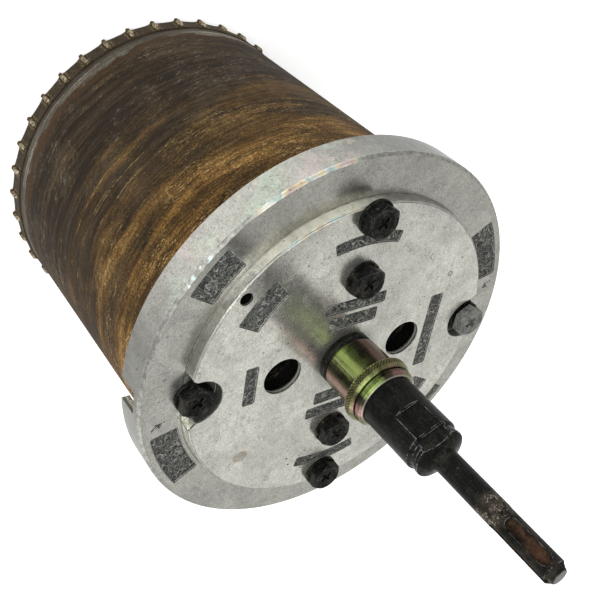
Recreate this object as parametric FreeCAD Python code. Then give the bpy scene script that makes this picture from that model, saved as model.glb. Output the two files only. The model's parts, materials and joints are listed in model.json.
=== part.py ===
import FreeCAD, Part
import math
import os
from FreeCAD import Rotation, Vector

# A dry core drill bit, 161 mm over its teeth. It stands on its teeth at z = 0, with its shank upwards.
# Its axis is Z. The four fixed bolts lie along X, the two side bolts and the ejection holes along Y.
# Sizes are in millimetres and degrees.

# Crown: a ring with axial cutting ridges on both its sides
CUTTING_DIAMETER = 161.0
TOOTH_COUNT = 40
TOOTH_START_ANGLE = 7.4
TOOTH_PROUD_OUTSIDE = 1.6
TOOTH_PROUD_INSIDE = 0.8
TOOTH_ROOT_WIDTH = 2.6
TOOTH_CREST_WIDTH = 1.5
TOOTH_MOUND_PROUD = 0.15
TOOTH_MOUND_ROOT_WIDTH = 7.0
TOOTH_MOUND_CREST_WIDTH = 3.6
TOOTH_LENGTH = 7.6
TOOTH_RUNOUT = 2.0
TOOTH_EMBEDDED = 0.6
CROWN_HEIGHT = 8.5
CROWN_WALL = 3.4
CROWN_STEP = 0.4
CROWN_EDGE_CHAMFER = 0.5

# Core tube and the disc welded on its upper end
TUBE_LENGTH = 141.9
TUBE_WALL = 2.5
END_PLATE_THICKNESS = 6.0
END_PLATE_SPIGOT_DEPTH = 2.0

# Adapter plate: a casting with a raised boss and a skirt that hangs over the tube
PLATE_THICKNESS = 4.3
BOSS_HEIGHT = 5.3
ANNULUS_WIDTH = 17.15
SKIRT_GAP = 6.5
SKIRT_WALL = 3.4
SKIRT_DEPTH = 10.3
SKIRT_EDGE_CHAMFER = 1.0
SKIRT_INNER_FILLET = 2.0
BOSS_CHAMFER = 0.6
NOTCH_WIDTH = 10.4
EJECTION_HOLE_DIAMETER = 16.8
EJECTION_HOLE_CIRCLE = 60.0
EJECTION_HOLE_LIP = 2.6
EJECTION_HOLE_RELIEF = 1.4
DOWEL_HOLE_DIAMETER = 5.2
DOWEL_HOLE_INSET = 4.15
DOWEL_HOLE_ANGLE = 50.0

# Recessed pads in the casting, bare here
PAD_DEPTH = 0.7
PAD_CORNER = 0.8
RIM_PAD_INNER_MARGIN = 1.95
RIM_PAD_OUTER_MARGIN = 3.8
LONG_RIM_PAD_ANGLES = (101.6, 123.0)
SHORT_RIM_PAD_ANGLES = (42.8, 56.9)
CURVED_PAD_INSET = 14.4
CURVED_PAD_WIDTH = 10.3
CURVED_PAD_ANGLES = (39.5, 59.3)
BOLT_PAD_INSET = 14.75
BOLT_PAD_WIDTH = 5.0
BOLT_PAD_ANGLES = (-15.5, 15.5)
HOLE_PAD_RADIUS = 44.5
SHORT_HOLE_PAD_LENGTH = 18.6
SHORT_HOLE_PAD_WIDTH = 5.4
LONG_HOLE_PAD_LENGTH = 38.0
LONG_HOLE_PAD_WIDTH = 6.4
NEAR_HUB_PAD_RADIUS = 19.2
NEAR_HUB_PAD_LENGTH = 23.0
NEAR_HUB_PAD_WIDTH = 6.1
FAR_HUB_PAD_RADIUS = 26.7
FAR_HUB_PAD_LENGTH = 28.9
FAR_HUB_PAD_WIDTH = 5.3

# Arrows that show which way the bit turns
ARROW_LENGTH = 5.3
ARROW_HEAD_LENGTH = 2.6
ARROW_HEAD_WIDTH = 3.2
ARROW_SHAFT_WIDTH = 1.1
ARROW_DEPTH = 0.5
ARROW_INSET = 7.3
ARROW_ANGLE = 97.8
ARROW_HEADING = -52.7

# Bolts and washers
BOLT_DIAMETER = 8.0
BOLT_LENGTH = 20.0
BOLT_HEAD_ACROSS_FLATS = 13.0
BOLT_HEAD_HEIGHT = 4.6
BOLT_HEAD_CHAMFER = 0.9
HEAD_DISH_DIAMETER = 11.2
HEAD_DISH_DEPTH = 0.5
CROSS_WIDTH = 1.5
CROSS_SPAN = 5.8
CROSS_DEPTH = 2.2
CROSS_ANGLE = 41.0
BOLT_HOLE_CLEARANCE = 0.5
INNER_BOLT_CIRCLE = 78.0
OUTER_BOLT_INSET = 5.25
SIDE_BOLT_INSET = 4.45
WASHER_DIAMETER = 15.2
WASHER_THICKNESS = 1.2
SPRING_WASHER_DIAMETER = 14.8
SPRING_WASHER_WIDTH = 3.1
SPRING_WASHER_THICKNESS = 1.9
SPRING_WASHER_SPREAD = 1.9
SPRING_WASHER_TURN = 348.0

# Pockets in the boss's edge round the side bolts; each opens with a rounded and a slanting side
SIDE_POCKET_CLEARANCE = 2.5
POCKET_ROUNDING = 3.2
POCKET_FLARE_WIDTH = 3.4
POCKET_FLARE_START = 1.0

# Hub: clamped through the plate, it carries the arbor and the locking balls
HUB_COLLAR_DIAMETER = 24.4
HUB_COLLAR_HEIGHT = 3.2
HUB_COLLAR_CHAMFER = 0.8
HUB_SPINDLE_DIAMETER = 19.8
HUB_THREAD_DIAMETER = 20.0
HUB_TOP_LAND = 1.2
HUB_END_CHAMFER = 0.8
HUB_END_PROUD = 1.5
HUB_NUT_ACROSS_FLATS = 30.0
HUB_NUT_HEIGHT = 8.0
HUB_NUT_CHAMFER = 1.0
HUB_WASHER_DIAMETER = 33.0
HUB_WASHER_THICKNESS = 2.0
END_PLATE_NUT_CLEARANCE = 1.2

# Lock sleeve, which slides towards the shank against its spring and frees the balls
SLEEVE_STROKE = 4.0
SLEEVE_SEAT_GAP = 0.3
SLEEVE_WALL = 0.95
SLEEVE_END_CHAMFER = 1.0
SLEEVE_FOOT_HEIGHT = 0.4
SLEEVE_FOOT_LAND = 2.4
SLEEVE_BALL_LAND = 4.3
SLEEVE_RELIEF_DEPTH = 1.3
SLEEVE_BARREL_LENGTH = 16.8
KNURL_LENGTH = 3.3
KNURL_STEP = 2.4
SLEEVE_SHOULDER_LENGTH = 1.4
SLEEVE_SHOULDER_STEP = 1.3
SLEEVE_GROOVE_LENGTH = 0.7
SLEEVE_GROOVE_STEP = 0.5
SLEEVE_BAND_LENGTH = 2.1
SLEEVE_BAND_STEP = 1.0
SLEEVE_LIP_LENGTH = 1.1
SLEEVE_LIP_WALL = 0.6
KNURL_CHAMFER = 0.5
RUNNING_GAP = 0.05

# Balls, spring and snap ring inside the sleeve
BALL_DIAMETER = 4.0
BALL_COUNT = 3
BALL_START_ANGLE = 90.0
BALL_CLEARANCE = 0.05
BALL_GROOVE_CLEARANCE = 0.1
SPRING_LENGTH = 7.6
SPRING_WIRE = 0.9
SPRING_TURNS = 3.0
SNAP_RING_THICKNESS = 1.2
SNAP_RING_DIAMETER = 22.2
SNAP_RING_GROOVE_DEPTH = 0.7
SNAP_RING_SPLIT = 4.0

# Arbor: spigot, body with wrench flats and grooved shank, all one piece
SPIGOT_DIAMETER = 14.0
SPIGOT_ROUND_LENGTH = 24.0
DRIVE_HEX_ACROSS_FLATS = 11.5
DRIVE_HEX_LENGTH = 8.0
DRIVE_HEX_CLEARANCE = 0.05
ARBOR_BODY_DIAMETER = 22.8
ARBOR_BODY_LENGTH = 30.0
ARBOR_BODY_CHAMFER = 0.8
ARBOR_NECK_STEP = 1.1
ARBOR_NECK_CHAMFER_LENGTH = 1.5
ARBOR_HEAD_STEP = 0.7
ARBOR_HEAD_LENGTH = 5.0
ARBOR_HEAD_LAND = 1.5
ARBOR_HEAD_FLARE_LENGTH = 0.3
ARBOR_HEAD_END_SLOPE = 27.0
ARBOR_FLATS_ACROSS = 20.0
ARBOR_FLATS_LENGTH = 12.5
ARBOR_HEAD_FLATS_ACROSS = 17.0
ARBOR_FLATS_ANGLE = 23.4
SHANK_DIAMETER = 10.0
SHANK_LENGTH = 59.5
SHANK_FILLET = 3.0
SHANK_TIP_DIAMETER = 6.0
SHANK_TIP_LENGTH = 2.5
DETENT_GROOVE_WIDTH = 5.4
DETENT_GROOVE_DEPTH = 2.1
DETENT_GROOVE_LENGTH = 20.0
DETENT_GROOVE_FROM_TIP = 3.7
DETENT_GROOVE_ANGLE = 30.6
DRIVE_SLOT_WIDTH = 4.0
DRIVE_SLOT_DEPTH = 1.6
DRIVE_SLOT_LENGTH = 28.0

# Centre drill, slid back into the arbor until its tip clears the plane of the teeth
DRILL_DIAMETER = 8.0
DRILL_TIP_CLEARANCE = 2.0
DRILL_BORE_DEPTH = 52.0
DRILL_END_GAP = 0.7
DRILL_POINT_LENGTH = 2.6
DRILL_FLUTE_LENGTH = 104.0
DRILL_FLUTE_PITCH = 26.0
DRILL_FLUTE_RADIUS = 2.7
DRILL_WEB = 3.0
CARBIDE_WIDTH = 8.4
CARBIDE_THICKNESS = 1.8
CARBIDE_HEIGHT = 8.0
CARBIDE_SLOT_GAP = 0.05
SET_SCREW_DIAMETER = 6.0
SET_SCREW_LENGTH = 6.0
SET_SCREW_HEX = 3.0
SET_SCREW_HEX_DEPTH = 2.5
SET_SCREW_HEIGHT = 12.0
SET_SCREW_ANGLE = 203.4
DRILL_FLAT_DEPTH = 0.5
DRILL_FLAT_LENGTH = 9.0

# Gaps between pieces that seat in or on each other
FIT_GAP = 0.05
CUT_PAST = 1.0

# Radii
tube_radius = CUTTING_DIAMETER / 2 - TOOTH_PROUD_OUTSIDE - CROWN_STEP
tube_inner_radius = tube_radius - TUBE_WALL
skirt_inner_radius = tube_radius + SKIRT_GAP
plate_radius = skirt_inner_radius + SKIRT_WALL
boss_radius = plate_radius - ANNULUS_WIDTH
inner_bolt_radius = INNER_BOLT_CIRCLE / 2
outer_bolt_radius = boss_radius - OUTER_BOLT_INSET
side_bolt_radius = boss_radius - SIDE_BOLT_INSET
side_pocket_radius = WASHER_DIAMETER / 2 + SIDE_POCKET_CLEARANCE
spindle_radius = HUB_SPINDLE_DIAMETER / 2
sleeve_bore_radius = spindle_radius + RUNNING_GAP
arbor_body_radius = ARBOR_BODY_DIAMETER / 2
sleeve_cup_radius = arbor_body_radius + RUNNING_GAP
sleeve_radius = sleeve_cup_radius + SLEEVE_WALL
spigot_radius = SPIGOT_DIAMETER / 2
hub_bore_radius = spigot_radius + FIT_GAP
drill_radius = DRILL_DIAMETER / 2
drill_bore_radius = drill_radius + FIT_GAP
ball_radius = BALL_DIAMETER / 2
ball_orbit_radius = sleeve_bore_radius - BALL_CLEARANCE - ball_radius
shank_radius = SHANK_DIAMETER / 2

# Heights above the plane of the teeth
tube_top = CROWN_HEIGHT + TUBE_LENGTH
plate_bottom = tube_top + END_PLATE_THICKNESS
annulus_top = plate_bottom + PLATE_THICKNESS
boss_top = annulus_top + BOSS_HEIGHT
skirt_bottom = plate_bottom - SKIRT_DEPTH
collar_top = boss_top + HUB_COLLAR_HEIGHT
sleeve_bottom = collar_top + SLEEVE_SEAT_GAP
relief_bottom = sleeve_bottom + SLEEVE_FOOT_LAND
relief_height = BALL_DIAMETER + 0.5
relief_top = relief_bottom + relief_height
ball_height = (relief_bottom + relief_top) / 2 + SLEEVE_STROKE
spring_bottom = relief_top + SLEEVE_BALL_LAND
snap_ring_bottom = spring_bottom + SPRING_LENGTH
hub_top = snap_ring_bottom + SNAP_RING_THICKNESS + HUB_TOP_LAND
spigot_round_bottom = hub_top - SPIGOT_ROUND_LENGTH
arbor_bottom = spigot_round_bottom - DRIVE_HEX_LENGTH
arbor_body_top = hub_top + ARBOR_BODY_LENGTH
arbor_head_top = arbor_body_top + ARBOR_HEAD_LENGTH
shank_tip = arbor_head_top + SHANK_LENGTH
hub_washer_bottom = plate_bottom - HUB_WASHER_THICKNESS
hub_nut_bottom = hub_washer_bottom - HUB_NUT_HEIGHT
hub_bottom = hub_nut_bottom - HUB_END_PROUD
drill_top = arbor_bottom + DRILL_BORE_DEPTH - DRILL_END_GAP
set_screw_height = hub_top + SET_SCREW_HEIGHT


def at(radius, angle, z=0.0):
    """A point at a radius and an angle about the axis."""
    turn = math.radians(angle)
    return Vector(radius * math.cos(turn), radius * math.sin(turn), z)


def turned(shape, angle):
    """A copy of a shape, turned about the axis."""
    copy = shape.copy()
    copy.rotate(Vector(0, 0, 0), Vector(0, 0, 1), angle)
    return copy


def rod(radius, bottom, top, place=Vector(0, 0, 0)):
    """An upright cylinder between two heights."""
    return Part.makeCylinder(radius, top - bottom, place + Vector(0, 0, bottom))


def ring(outer_radius, inner_radius, bottom, top, place=Vector(0, 0, 0)):
    """An upright ring between two heights."""
    hole = rod(inner_radius, bottom - CUT_PAST, top + CUT_PAST, place)
    return rod(outer_radius, bottom, top, place).cut(hole)


def cone(bottom_radius, top_radius, bottom, top, place=Vector(0, 0, 0)):
    """An upright cone between two heights."""
    return Part.makeCone(bottom_radius, top_radius, top - bottom, place + Vector(0, 0, bottom))


def turned_profile(start, *steps):
    """A solid turned about the axis from (radius, height) points; a pair of points is an arc."""
    edges = []
    first = Vector(start[0], 0, start[1])
    here = first
    for step in steps:
        if isinstance(step[0], tuple):
            middle = Vector(step[0][0], 0, step[0][1])
            there = Vector(step[1][0], 0, step[1][1])
            edges.append(Part.Arc(here, middle, there).toShape())
        else:
            there = Vector(step[0], 0, step[1])
            edges.append(Part.makeLine(here, there))
        here = there
    edges.append(Part.makeLine(here, first))
    face = Part.Face(Part.Wire(edges))
    return face.revolve(Vector(0, 0, 0), Vector(0, 0, 1), 360)


def profile_arc(centre, radius, start_angle, end_angle):
    """The middle and end of an arc of a profile, from its centre and its angles."""
    middle = math.radians((start_angle + end_angle) / 2)
    end = math.radians(end_angle)
    return (
        (centre[0] + radius * math.cos(middle), centre[1] + radius * math.sin(middle)),
        (centre[0] + radius * math.cos(end), centre[1] + radius * math.sin(end)),
    )


def hexagon(across_flats, bottom, top, place=Vector(0, 0, 0), angle=0.0):
    """A hexagonal prism, with a corner at the given angle."""
    corner_radius = across_flats / math.sqrt(3)
    points = [place + at(corner_radius, angle + 60 * side, bottom) for side in range(7)]
    face = Part.Face(Part.makePolygon(points))
    return face.extrude(Vector(0, 0, top - bottom))


def block(length, width, bottom, top, place, angle):
    """A box with its long side at the given angle, centred on a place."""
    box = Part.makeBox(length, width, top - bottom, Vector(-length / 2, -width / 2, bottom))
    box.rotate(Vector(0, 0, 0), Vector(0, 0, 1), angle)
    box.translate(place)
    return box


def rounded_upright(shape, radius):
    """The shape with its upright edges rounded."""
    upright = []
    for edge in shape.Edges:
        low, high = edge.BoundBox.ZMin, edge.BoundBox.ZMax
        if high - low > 0.99 * shape.BoundBox.ZLength:
            upright.append(edge)
    return shape.makeFillet(radius, upright)


def sector(inner_radius, outer_radius, angles, bottom, top):
    """A piece of a ring between two angles."""
    start, end = angles
    middle = (start + end) / 2
    edges = [
        Part.Arc(at(inner_radius, start), at(inner_radius, middle), at(inner_radius, end)).toShape(),
        Part.makeLine(at(inner_radius, end), at(outer_radius, end)),
        Part.Arc(at(outer_radius, end), at(outer_radius, middle), at(outer_radius, start)).toShape(),
        Part.makeLine(at(outer_radius, start), at(inner_radius, start)),
    ]
    face = Part.Face(Part.Wire(edges))
    face.translate(Vector(0, 0, bottom))
    return face.extrude(Vector(0, 0, top - bottom))


def tooth_ridge(root_radius, crest_radius, root_width, crest_width):
    """One cutting ridge at angle 0, wide where it leaves the ring and narrow at its crest."""
    sections = []
    for radius, width, length in (
        (root_radius, root_width, TOOTH_LENGTH),
        (crest_radius, crest_width, TOOTH_LENGTH - TOOTH_RUNOUT),
    ):
        corners = [(-width / 2, 0), (width / 2, 0), (width / 2, length), (-width / 2, length)]
        points = [Vector(radius, y, z) for y, z in corners + corners[:1]]
        sections.append(Part.makePolygon(points))
    return Part.makeLoft(sections, True, True)


def make_cutting_crown():
    outer = tube_radius + CROWN_STEP
    inner = outer - CROWN_WALL
    chamfer = CROWN_EDGE_CHAMFER
    body = turned_profile(
        (inner + chamfer, 0), (outer - chamfer, 0), (outer, chamfer), (outer, CROWN_HEIGHT),
        (inner, CROWN_HEIGHT), (inner, chamfer),
    )
    shapes = (
        tooth_ridge(outer - TOOTH_EMBEDDED, outer + TOOTH_PROUD_OUTSIDE,
                    TOOTH_ROOT_WIDTH, TOOTH_CREST_WIDTH),
        tooth_ridge(outer - TOOTH_EMBEDDED, outer + TOOTH_MOUND_PROUD,
                    TOOTH_MOUND_ROOT_WIDTH, TOOTH_MOUND_CREST_WIDTH),
        tooth_ridge(inner + TOOTH_EMBEDDED, inner - TOOTH_PROUD_INSIDE,
                    TOOTH_ROOT_WIDTH, TOOTH_CREST_WIDTH),
    )
    ridges = []
    for number in range(TOOTH_COUNT):
        angle = TOOTH_START_ANGLE + 360 / TOOTH_COUNT * number
        ridges += [turned(shape, angle) for shape in shapes]
    return body.fuse(ridges)


def make_core_tube():
    return ring(tube_radius, tube_inner_radius, CROWN_HEIGHT, tube_top)


def fixed_bolt_places():
    """Where the four fixed bolts stand, by name."""
    return {
        "inner_1": at(inner_bolt_radius, 0),
        "inner_2": at(inner_bolt_radius, 180),
        "outer_1": at(outer_bolt_radius, 0),
        "outer_2": at(outer_bolt_radius, 180),
    }


def side_bolt_places():
    """Where the two side bolts stand, by name."""
    return {"side_1": at(side_bolt_radius, 90), "side_2": at(side_bolt_radius, 270)}


def make_tube_end_plate():
    spigot_bottom = tube_top - END_PLATE_SPIGOT_DEPTH
    body = rod(tube_radius, tube_top, plate_bottom)
    body = body.fuse(rod(tube_inner_radius - FIT_GAP, spigot_bottom, tube_top))
    low = spigot_bottom - CUT_PAST
    high = plate_bottom + CUT_PAST
    nut_corner = HUB_NUT_ACROSS_FLATS / math.sqrt(3)
    cuts = [rod(nut_corner + END_PLATE_NUT_CLEARANCE, low, high)]
    for place in list(fixed_bolt_places().values()) + list(side_bolt_places().values()):
        cuts.append(rod(BOLT_DIAMETER / 2 + FIT_GAP, low, high, place))
    for angle in (90, 270):
        cuts.append(rod(EJECTION_HOLE_DIAMETER / 2, low, high, at(EJECTION_HOLE_CIRCLE / 2, angle)))
    return body.cut(cuts).removeSplitter()


def plate_blank():
    """The turned shape of the adapter plate, before its holes and recesses."""
    fillet = SKIRT_INNER_FILLET
    fillet_centre = (skirt_inner_radius - fillet, plate_bottom - fillet)
    bore = HUB_THREAD_DIAMETER / 2 + FIT_GAP
    return turned_profile(
        (bore, plate_bottom),
        (skirt_inner_radius - fillet, plate_bottom),
        profile_arc(fillet_centre, fillet, 90, 0),
        (skirt_inner_radius, skirt_bottom),
        (plate_radius, skirt_bottom),
        (plate_radius, annulus_top - SKIRT_EDGE_CHAMFER),
        (plate_radius - SKIRT_EDGE_CHAMFER, annulus_top),
        (boss_radius, annulus_top),
        (boss_radius, boss_top - BOSS_CHAMFER),
        (boss_radius - BOSS_CHAMFER, boss_top),
        (bore, boss_top),
    )


def pad_cutters():
    """The shallow pads of one half of the plate; the other half repeats most of them."""
    rim_inner = boss_radius + RIM_PAD_INNER_MARGIN
    rim_outer = plate_radius - RIM_PAD_OUTER_MARGIN
    rim_floor = annulus_top - PAD_DEPTH
    rim_high = annulus_top + CUT_PAST
    floor = boss_top - PAD_DEPTH
    high = boss_top + CUT_PAST
    curved_middle = boss_radius - CURVED_PAD_INSET
    bolt_middle = boss_radius - BOLT_PAD_INSET
    repeated = [
        sector(rim_inner, rim_outer, LONG_RIM_PAD_ANGLES, rim_floor, rim_high),
        sector(rim_inner, rim_outer, SHORT_RIM_PAD_ANGLES, rim_floor, rim_high),
        sector(curved_middle - CURVED_PAD_WIDTH / 2, curved_middle + CURVED_PAD_WIDTH / 2,
               CURVED_PAD_ANGLES, floor, high),
        sector(bolt_middle - BOLT_PAD_WIDTH / 2, bolt_middle + BOLT_PAD_WIDTH / 2,
               BOLT_PAD_ANGLES, floor, high),
        block(NEAR_HUB_PAD_LENGTH, NEAR_HUB_PAD_WIDTH, floor, high, at(NEAR_HUB_PAD_RADIUS, 0), 90),
        block(FAR_HUB_PAD_LENGTH, FAR_HUB_PAD_WIDTH, floor, high, at(FAR_HUB_PAD_RADIUS, 0), 90),
    ]
    single = [
        block(SHORT_HOLE_PAD_LENGTH, SHORT_HOLE_PAD_WIDTH, floor, high, at(HOLE_PAD_RADIUS, 90), 0),
        block(LONG_HOLE_PAD_LENGTH, LONG_HOLE_PAD_WIDTH, floor, high, at(HOLE_PAD_RADIUS, 270), 0),
    ]
    pads = [rounded_upright(pad, PAD_CORNER) for pad in repeated + single]
    return pads + [turned(pad, 180) for pad in pads[:len(repeated)]]


def arrow_cutter():
    """A shallow arrow in the rim of the plate."""
    shaft = ARROW_SHAFT_WIDTH / 2
    neck = ARROW_LENGTH / 2 - ARROW_HEAD_LENGTH
    outline = [
        (-ARROW_LENGTH / 2, -shaft), (neck, -shaft), (neck, -ARROW_HEAD_WIDTH / 2),
        (ARROW_LENGTH / 2, 0), (neck, ARROW_HEAD_WIDTH / 2), (neck, shaft), (-ARROW_LENGTH / 2, shaft),
    ]
    points = [Vector(x, y, annulus_top - ARROW_DEPTH) for x, y in outline + outline[:1]]
    arrow = Part.Face(Part.makePolygon(points)).extrude(Vector(0, 0, ARROW_DEPTH + CUT_PAST))
    arrow.rotate(Vector(0, 0, 0), Vector(0, 0, 1), ARROW_HEADING)
    arrow.translate(at(plate_radius - ARROW_INSET, ARROW_ANGLE))
    return arrow


def side_pocket_cutter():
    """The round pocket of a side bolt, with its mouth through the boss's edge, about the X axis."""
    high = boss_top + CUT_PAST
    past = boss_radius + CUT_PAST
    side = side_pocket_radius
    rounded_side = -(side + POCKET_ROUNDING)
    flared_side = side + POCKET_FLARE_WIDTH
    corners = [
        Vector(side_bolt_radius, rounded_side, annulus_top),
        Vector(past, rounded_side, annulus_top),
        Vector(past, flared_side, annulus_top),
        Vector(boss_radius, flared_side, annulus_top),
        Vector(side_bolt_radius - POCKET_FLARE_START, side - POCKET_FLARE_START / 2, annulus_top),
        Vector(side_bolt_radius - POCKET_FLARE_START, 0, annulus_top),
        Vector(side_bolt_radius, 0, annulus_top),
    ]
    outline = Part.makePolygon(corners + corners[:1])
    mouth = Part.Face(outline).extrude(Vector(0, 0, high - annulus_top))
    rounding = rod(POCKET_ROUNDING, annulus_top - CUT_PAST, high + CUT_PAST,
                   Vector(side_bolt_radius, rounded_side, 0))
    pocket = rod(side, annulus_top, high, Vector(side_bolt_radius, 0, 0))
    return pocket.fuse(mouth.cut(rounding))


def make_adapter_plate():
    low = plate_bottom - CUT_PAST
    high = boss_top + CUT_PAST
    cuts = pad_cutters()
    bolt_hole = BOLT_DIAMETER / 2 + BOLT_HOLE_CLEARANCE
    for place in list(fixed_bolt_places().values()) + list(side_bolt_places().values()):
        cuts.append(rod(bolt_hole, low, high, place))
    pocket = side_pocket_cutter()
    for angle in (90, 270):
        cuts.append(turned(pocket, angle))
        ejection_place = at(EJECTION_HOLE_CIRCLE / 2, angle)
        cuts.append(rod(EJECTION_HOLE_DIAMETER / 2, low, high, ejection_place))
        cuts.append(rod(EJECTION_HOLE_DIAMETER / 2 + EJECTION_HOLE_RELIEF, low,
                        boss_top - EJECTION_HOLE_LIP, ejection_place))
        notch_length = SKIRT_WALL + 2 * CUT_PAST
        notch_middle = at(skirt_inner_radius + SKIRT_WALL / 2, angle)
        cuts.append(block(notch_length, NOTCH_WIDTH, skirt_bottom - CUT_PAST, plate_bottom,
                          notch_middle, angle))
    for half in (0, 180):
        dowel_place = at(boss_radius - DOWEL_HOLE_INSET, DOWEL_HOLE_ANGLE + half)
        cuts.append(rod(DOWEL_HOLE_DIAMETER / 2, low, high, dowel_place))
        cuts.append(turned(arrow_cutter(), half))
    return plate_blank().cut(cuts)


def make_bolt(place, seat):
    """A hexagon bolt with a dished top and a cross recess, its head standing on the seat."""
    top = seat + BOLT_HEAD_HEIGHT
    corner_radius = BOLT_HEAD_ACROSS_FLATS / math.sqrt(3)
    head = hexagon(BOLT_HEAD_ACROSS_FLATS, seat, top, place)
    crown = rod(corner_radius, seat, top - BOLT_HEAD_CHAMFER, place)
    crown = crown.fuse(cone(corner_radius, corner_radius - 1.6 * BOLT_HEAD_CHAMFER,
                            top - BOLT_HEAD_CHAMFER, top, place))
    head = head.common(crown)
    dish = HEAD_DISH_DIAMETER / 2
    head = head.cut(cone(dish - HEAD_DISH_DEPTH, dish, top - HEAD_DISH_DEPTH, top, place))
    for turn in (0, 90):
        arm = block(CROSS_SPAN, CROSS_WIDTH, top - CROSS_DEPTH, top, place, CROSS_ANGLE + turn)
        head = head.cut(arm)
    end = seat - BOLT_LENGTH
    chamfer = BOLT_DIAMETER / 10
    shank = rod(BOLT_DIAMETER / 2, end + chamfer, seat, place)
    shank = shank.fuse(cone(BOLT_DIAMETER / 2 - chamfer, BOLT_DIAMETER / 2, end, end + chamfer, place))
    return head.fuse(shank).removeSplitter()


def make_washer(place, seat):
    return ring(WASHER_DIAMETER / 2, BOLT_DIAMETER / 2 + FIT_GAP, seat, seat + WASHER_THICKNESS, place)


def make_spring_washer(place, seat):
    """An open split washer under the bolt that isn't tight: one rising turn of flat wire."""
    outer = SPRING_WASHER_DIAMETER / 2
    inner = outer - SPRING_WASHER_WIDTH
    middle = (outer + inner) / 2
    rise = SPRING_WASHER_SPREAD * SPRING_WASHER_TURN / 360
    path = Part.makeHelix(SPRING_WASHER_SPREAD, rise, middle)
    corners = [Vector(inner, 0, 0), Vector(outer, 0, 0), Vector(outer, 0, SPRING_WASHER_THICKNESS),
               Vector(inner, 0, SPRING_WASHER_THICKNESS)]
    section = Part.makePolygon(corners + corners[:1])
    washer = Part.Wire(path.Edges).makePipeShell([section], True, True)
    washer = Part.Solid(washer) if washer.ShapeType != "Solid" else washer
    return washer.translated(place + Vector(0, 0, seat - washer.BoundBox.ZMin + FIT_GAP))


def make_hub():
    thread = HUB_THREAD_DIAMETER / 2
    collar = HUB_COLLAR_DIAMETER / 2
    chamfer = HUB_END_CHAMFER
    body = turned_profile(
        (drill_bore_radius + FIT_GAP, hub_bottom),
        (thread - chamfer, hub_bottom),
        (thread, hub_bottom + chamfer),
        (thread, boss_top),
        (collar, boss_top),
        (collar, collar_top - HUB_COLLAR_CHAMFER),
        (collar - HUB_COLLAR_CHAMFER, collar_top),
        (spindle_radius, collar_top),
        (spindle_radius, hub_top - chamfer / 2),
        (spindle_radius - chamfer / 2, hub_top),
        (hub_bore_radius, hub_top),
        (hub_bore_radius, spigot_round_bottom),
        (drill_bore_radius + FIT_GAP, spigot_round_bottom),
    )
    hex_socket = hexagon(DRIVE_HEX_ACROSS_FLATS + 2 * DRIVE_HEX_CLEARANCE,
                         arbor_bottom - DRIVE_HEX_CLEARANCE, spigot_round_bottom + CUT_PAST)
    cuts = [hex_socket, ring(spindle_radius + CUT_PAST, spindle_radius - SNAP_RING_GROOVE_DEPTH,
                             snap_ring_bottom, snap_ring_bottom + SNAP_RING_THICKNESS)]
    for number in range(BALL_COUNT):
        angle = BALL_START_ANGLE + 360 / BALL_COUNT * number
        start = at(0, 0, ball_height)
        cuts.append(Part.makeCylinder(ball_radius + BALL_CLEARANCE, spindle_radius + CUT_PAST,
                                      start, at(1, angle)))
    return body.cut(cuts)


def make_hub_nut():
    corner = HUB_NUT_ACROSS_FLATS / math.sqrt(3)
    chamfer = HUB_NUT_CHAMFER
    nut = hexagon(HUB_NUT_ACROSS_FLATS, hub_nut_bottom, hub_washer_bottom)
    envelope = turned_profile(
        (HUB_THREAD_DIAMETER / 2 + FIT_GAP, hub_nut_bottom),
        (corner - 1.7 * chamfer, hub_nut_bottom),
        (corner, hub_nut_bottom + chamfer),
        (corner, hub_washer_bottom),
        (HUB_THREAD_DIAMETER / 2 + FIT_GAP, hub_washer_bottom),
    )
    return nut.common(envelope)


def make_lock_sleeve():
    barrel_top = sleeve_bottom + SLEEVE_BARREL_LENGTH
    knurl = sleeve_radius + KNURL_STEP
    knurl_top = barrel_top + KNURL_LENGTH
    shoulder = sleeve_radius + SLEEVE_SHOULDER_STEP
    shoulder_top = knurl_top + SLEEVE_SHOULDER_LENGTH
    groove = sleeve_radius + SLEEVE_GROOVE_STEP
    groove_top = shoulder_top + SLEEVE_GROOVE_LENGTH
    band = sleeve_radius + SLEEVE_BAND_STEP
    band_top = groove_top + SLEEVE_BAND_LENGTH
    lip_top = band_top + SLEEVE_LIP_LENGTH
    lip = sleeve_cup_radius + SLEEVE_LIP_WALL
    relief = spindle_radius + SLEEVE_RELIEF_DEPTH
    foot = sleeve_radius - SLEEVE_END_CHAMFER
    foot_top = sleeve_bottom + SLEEVE_FOOT_HEIGHT
    return turned_profile(
        (sleeve_bore_radius, sleeve_bottom),
        (foot, sleeve_bottom),
        (foot, foot_top),
        (sleeve_radius, foot_top + SLEEVE_END_CHAMFER),
        (sleeve_radius, barrel_top),
        (knurl - KNURL_CHAMFER, barrel_top),
        (knurl, barrel_top + KNURL_CHAMFER),
        (knurl, knurl_top),
        (shoulder, shoulder_top),
        (groove, shoulder_top),
        (groove, groove_top),
        (band, groove_top),
        (band, band_top),
        (lip, lip_top),
        (sleeve_cup_radius, lip_top),
        (sleeve_cup_radius, spring_bottom),
        (sleeve_bore_radius, spring_bottom),
        (sleeve_bore_radius, relief_top),
        (relief, relief_top),
        (relief, relief_bottom),
        (sleeve_bore_radius, relief_bottom),
    )


def make_sleeve_spring():
    wire = SPRING_WIRE / 2
    coil = (spindle_radius + sleeve_cup_radius) / 2
    height = SPRING_LENGTH - 2 * SPRING_WIRE
    path = Part.makeHelix(height / SPRING_TURNS, height, coil)
    path.translate(Vector(0, 0, spring_bottom + SPRING_WIRE))
    start = Vector(coil, 0, spring_bottom + SPRING_WIRE)
    section = Part.Wire(Part.makeCircle(wire, start, Vector(0, 1, 0)))
    return Part.Wire(path).makePipeShell([section], True, True)


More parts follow.
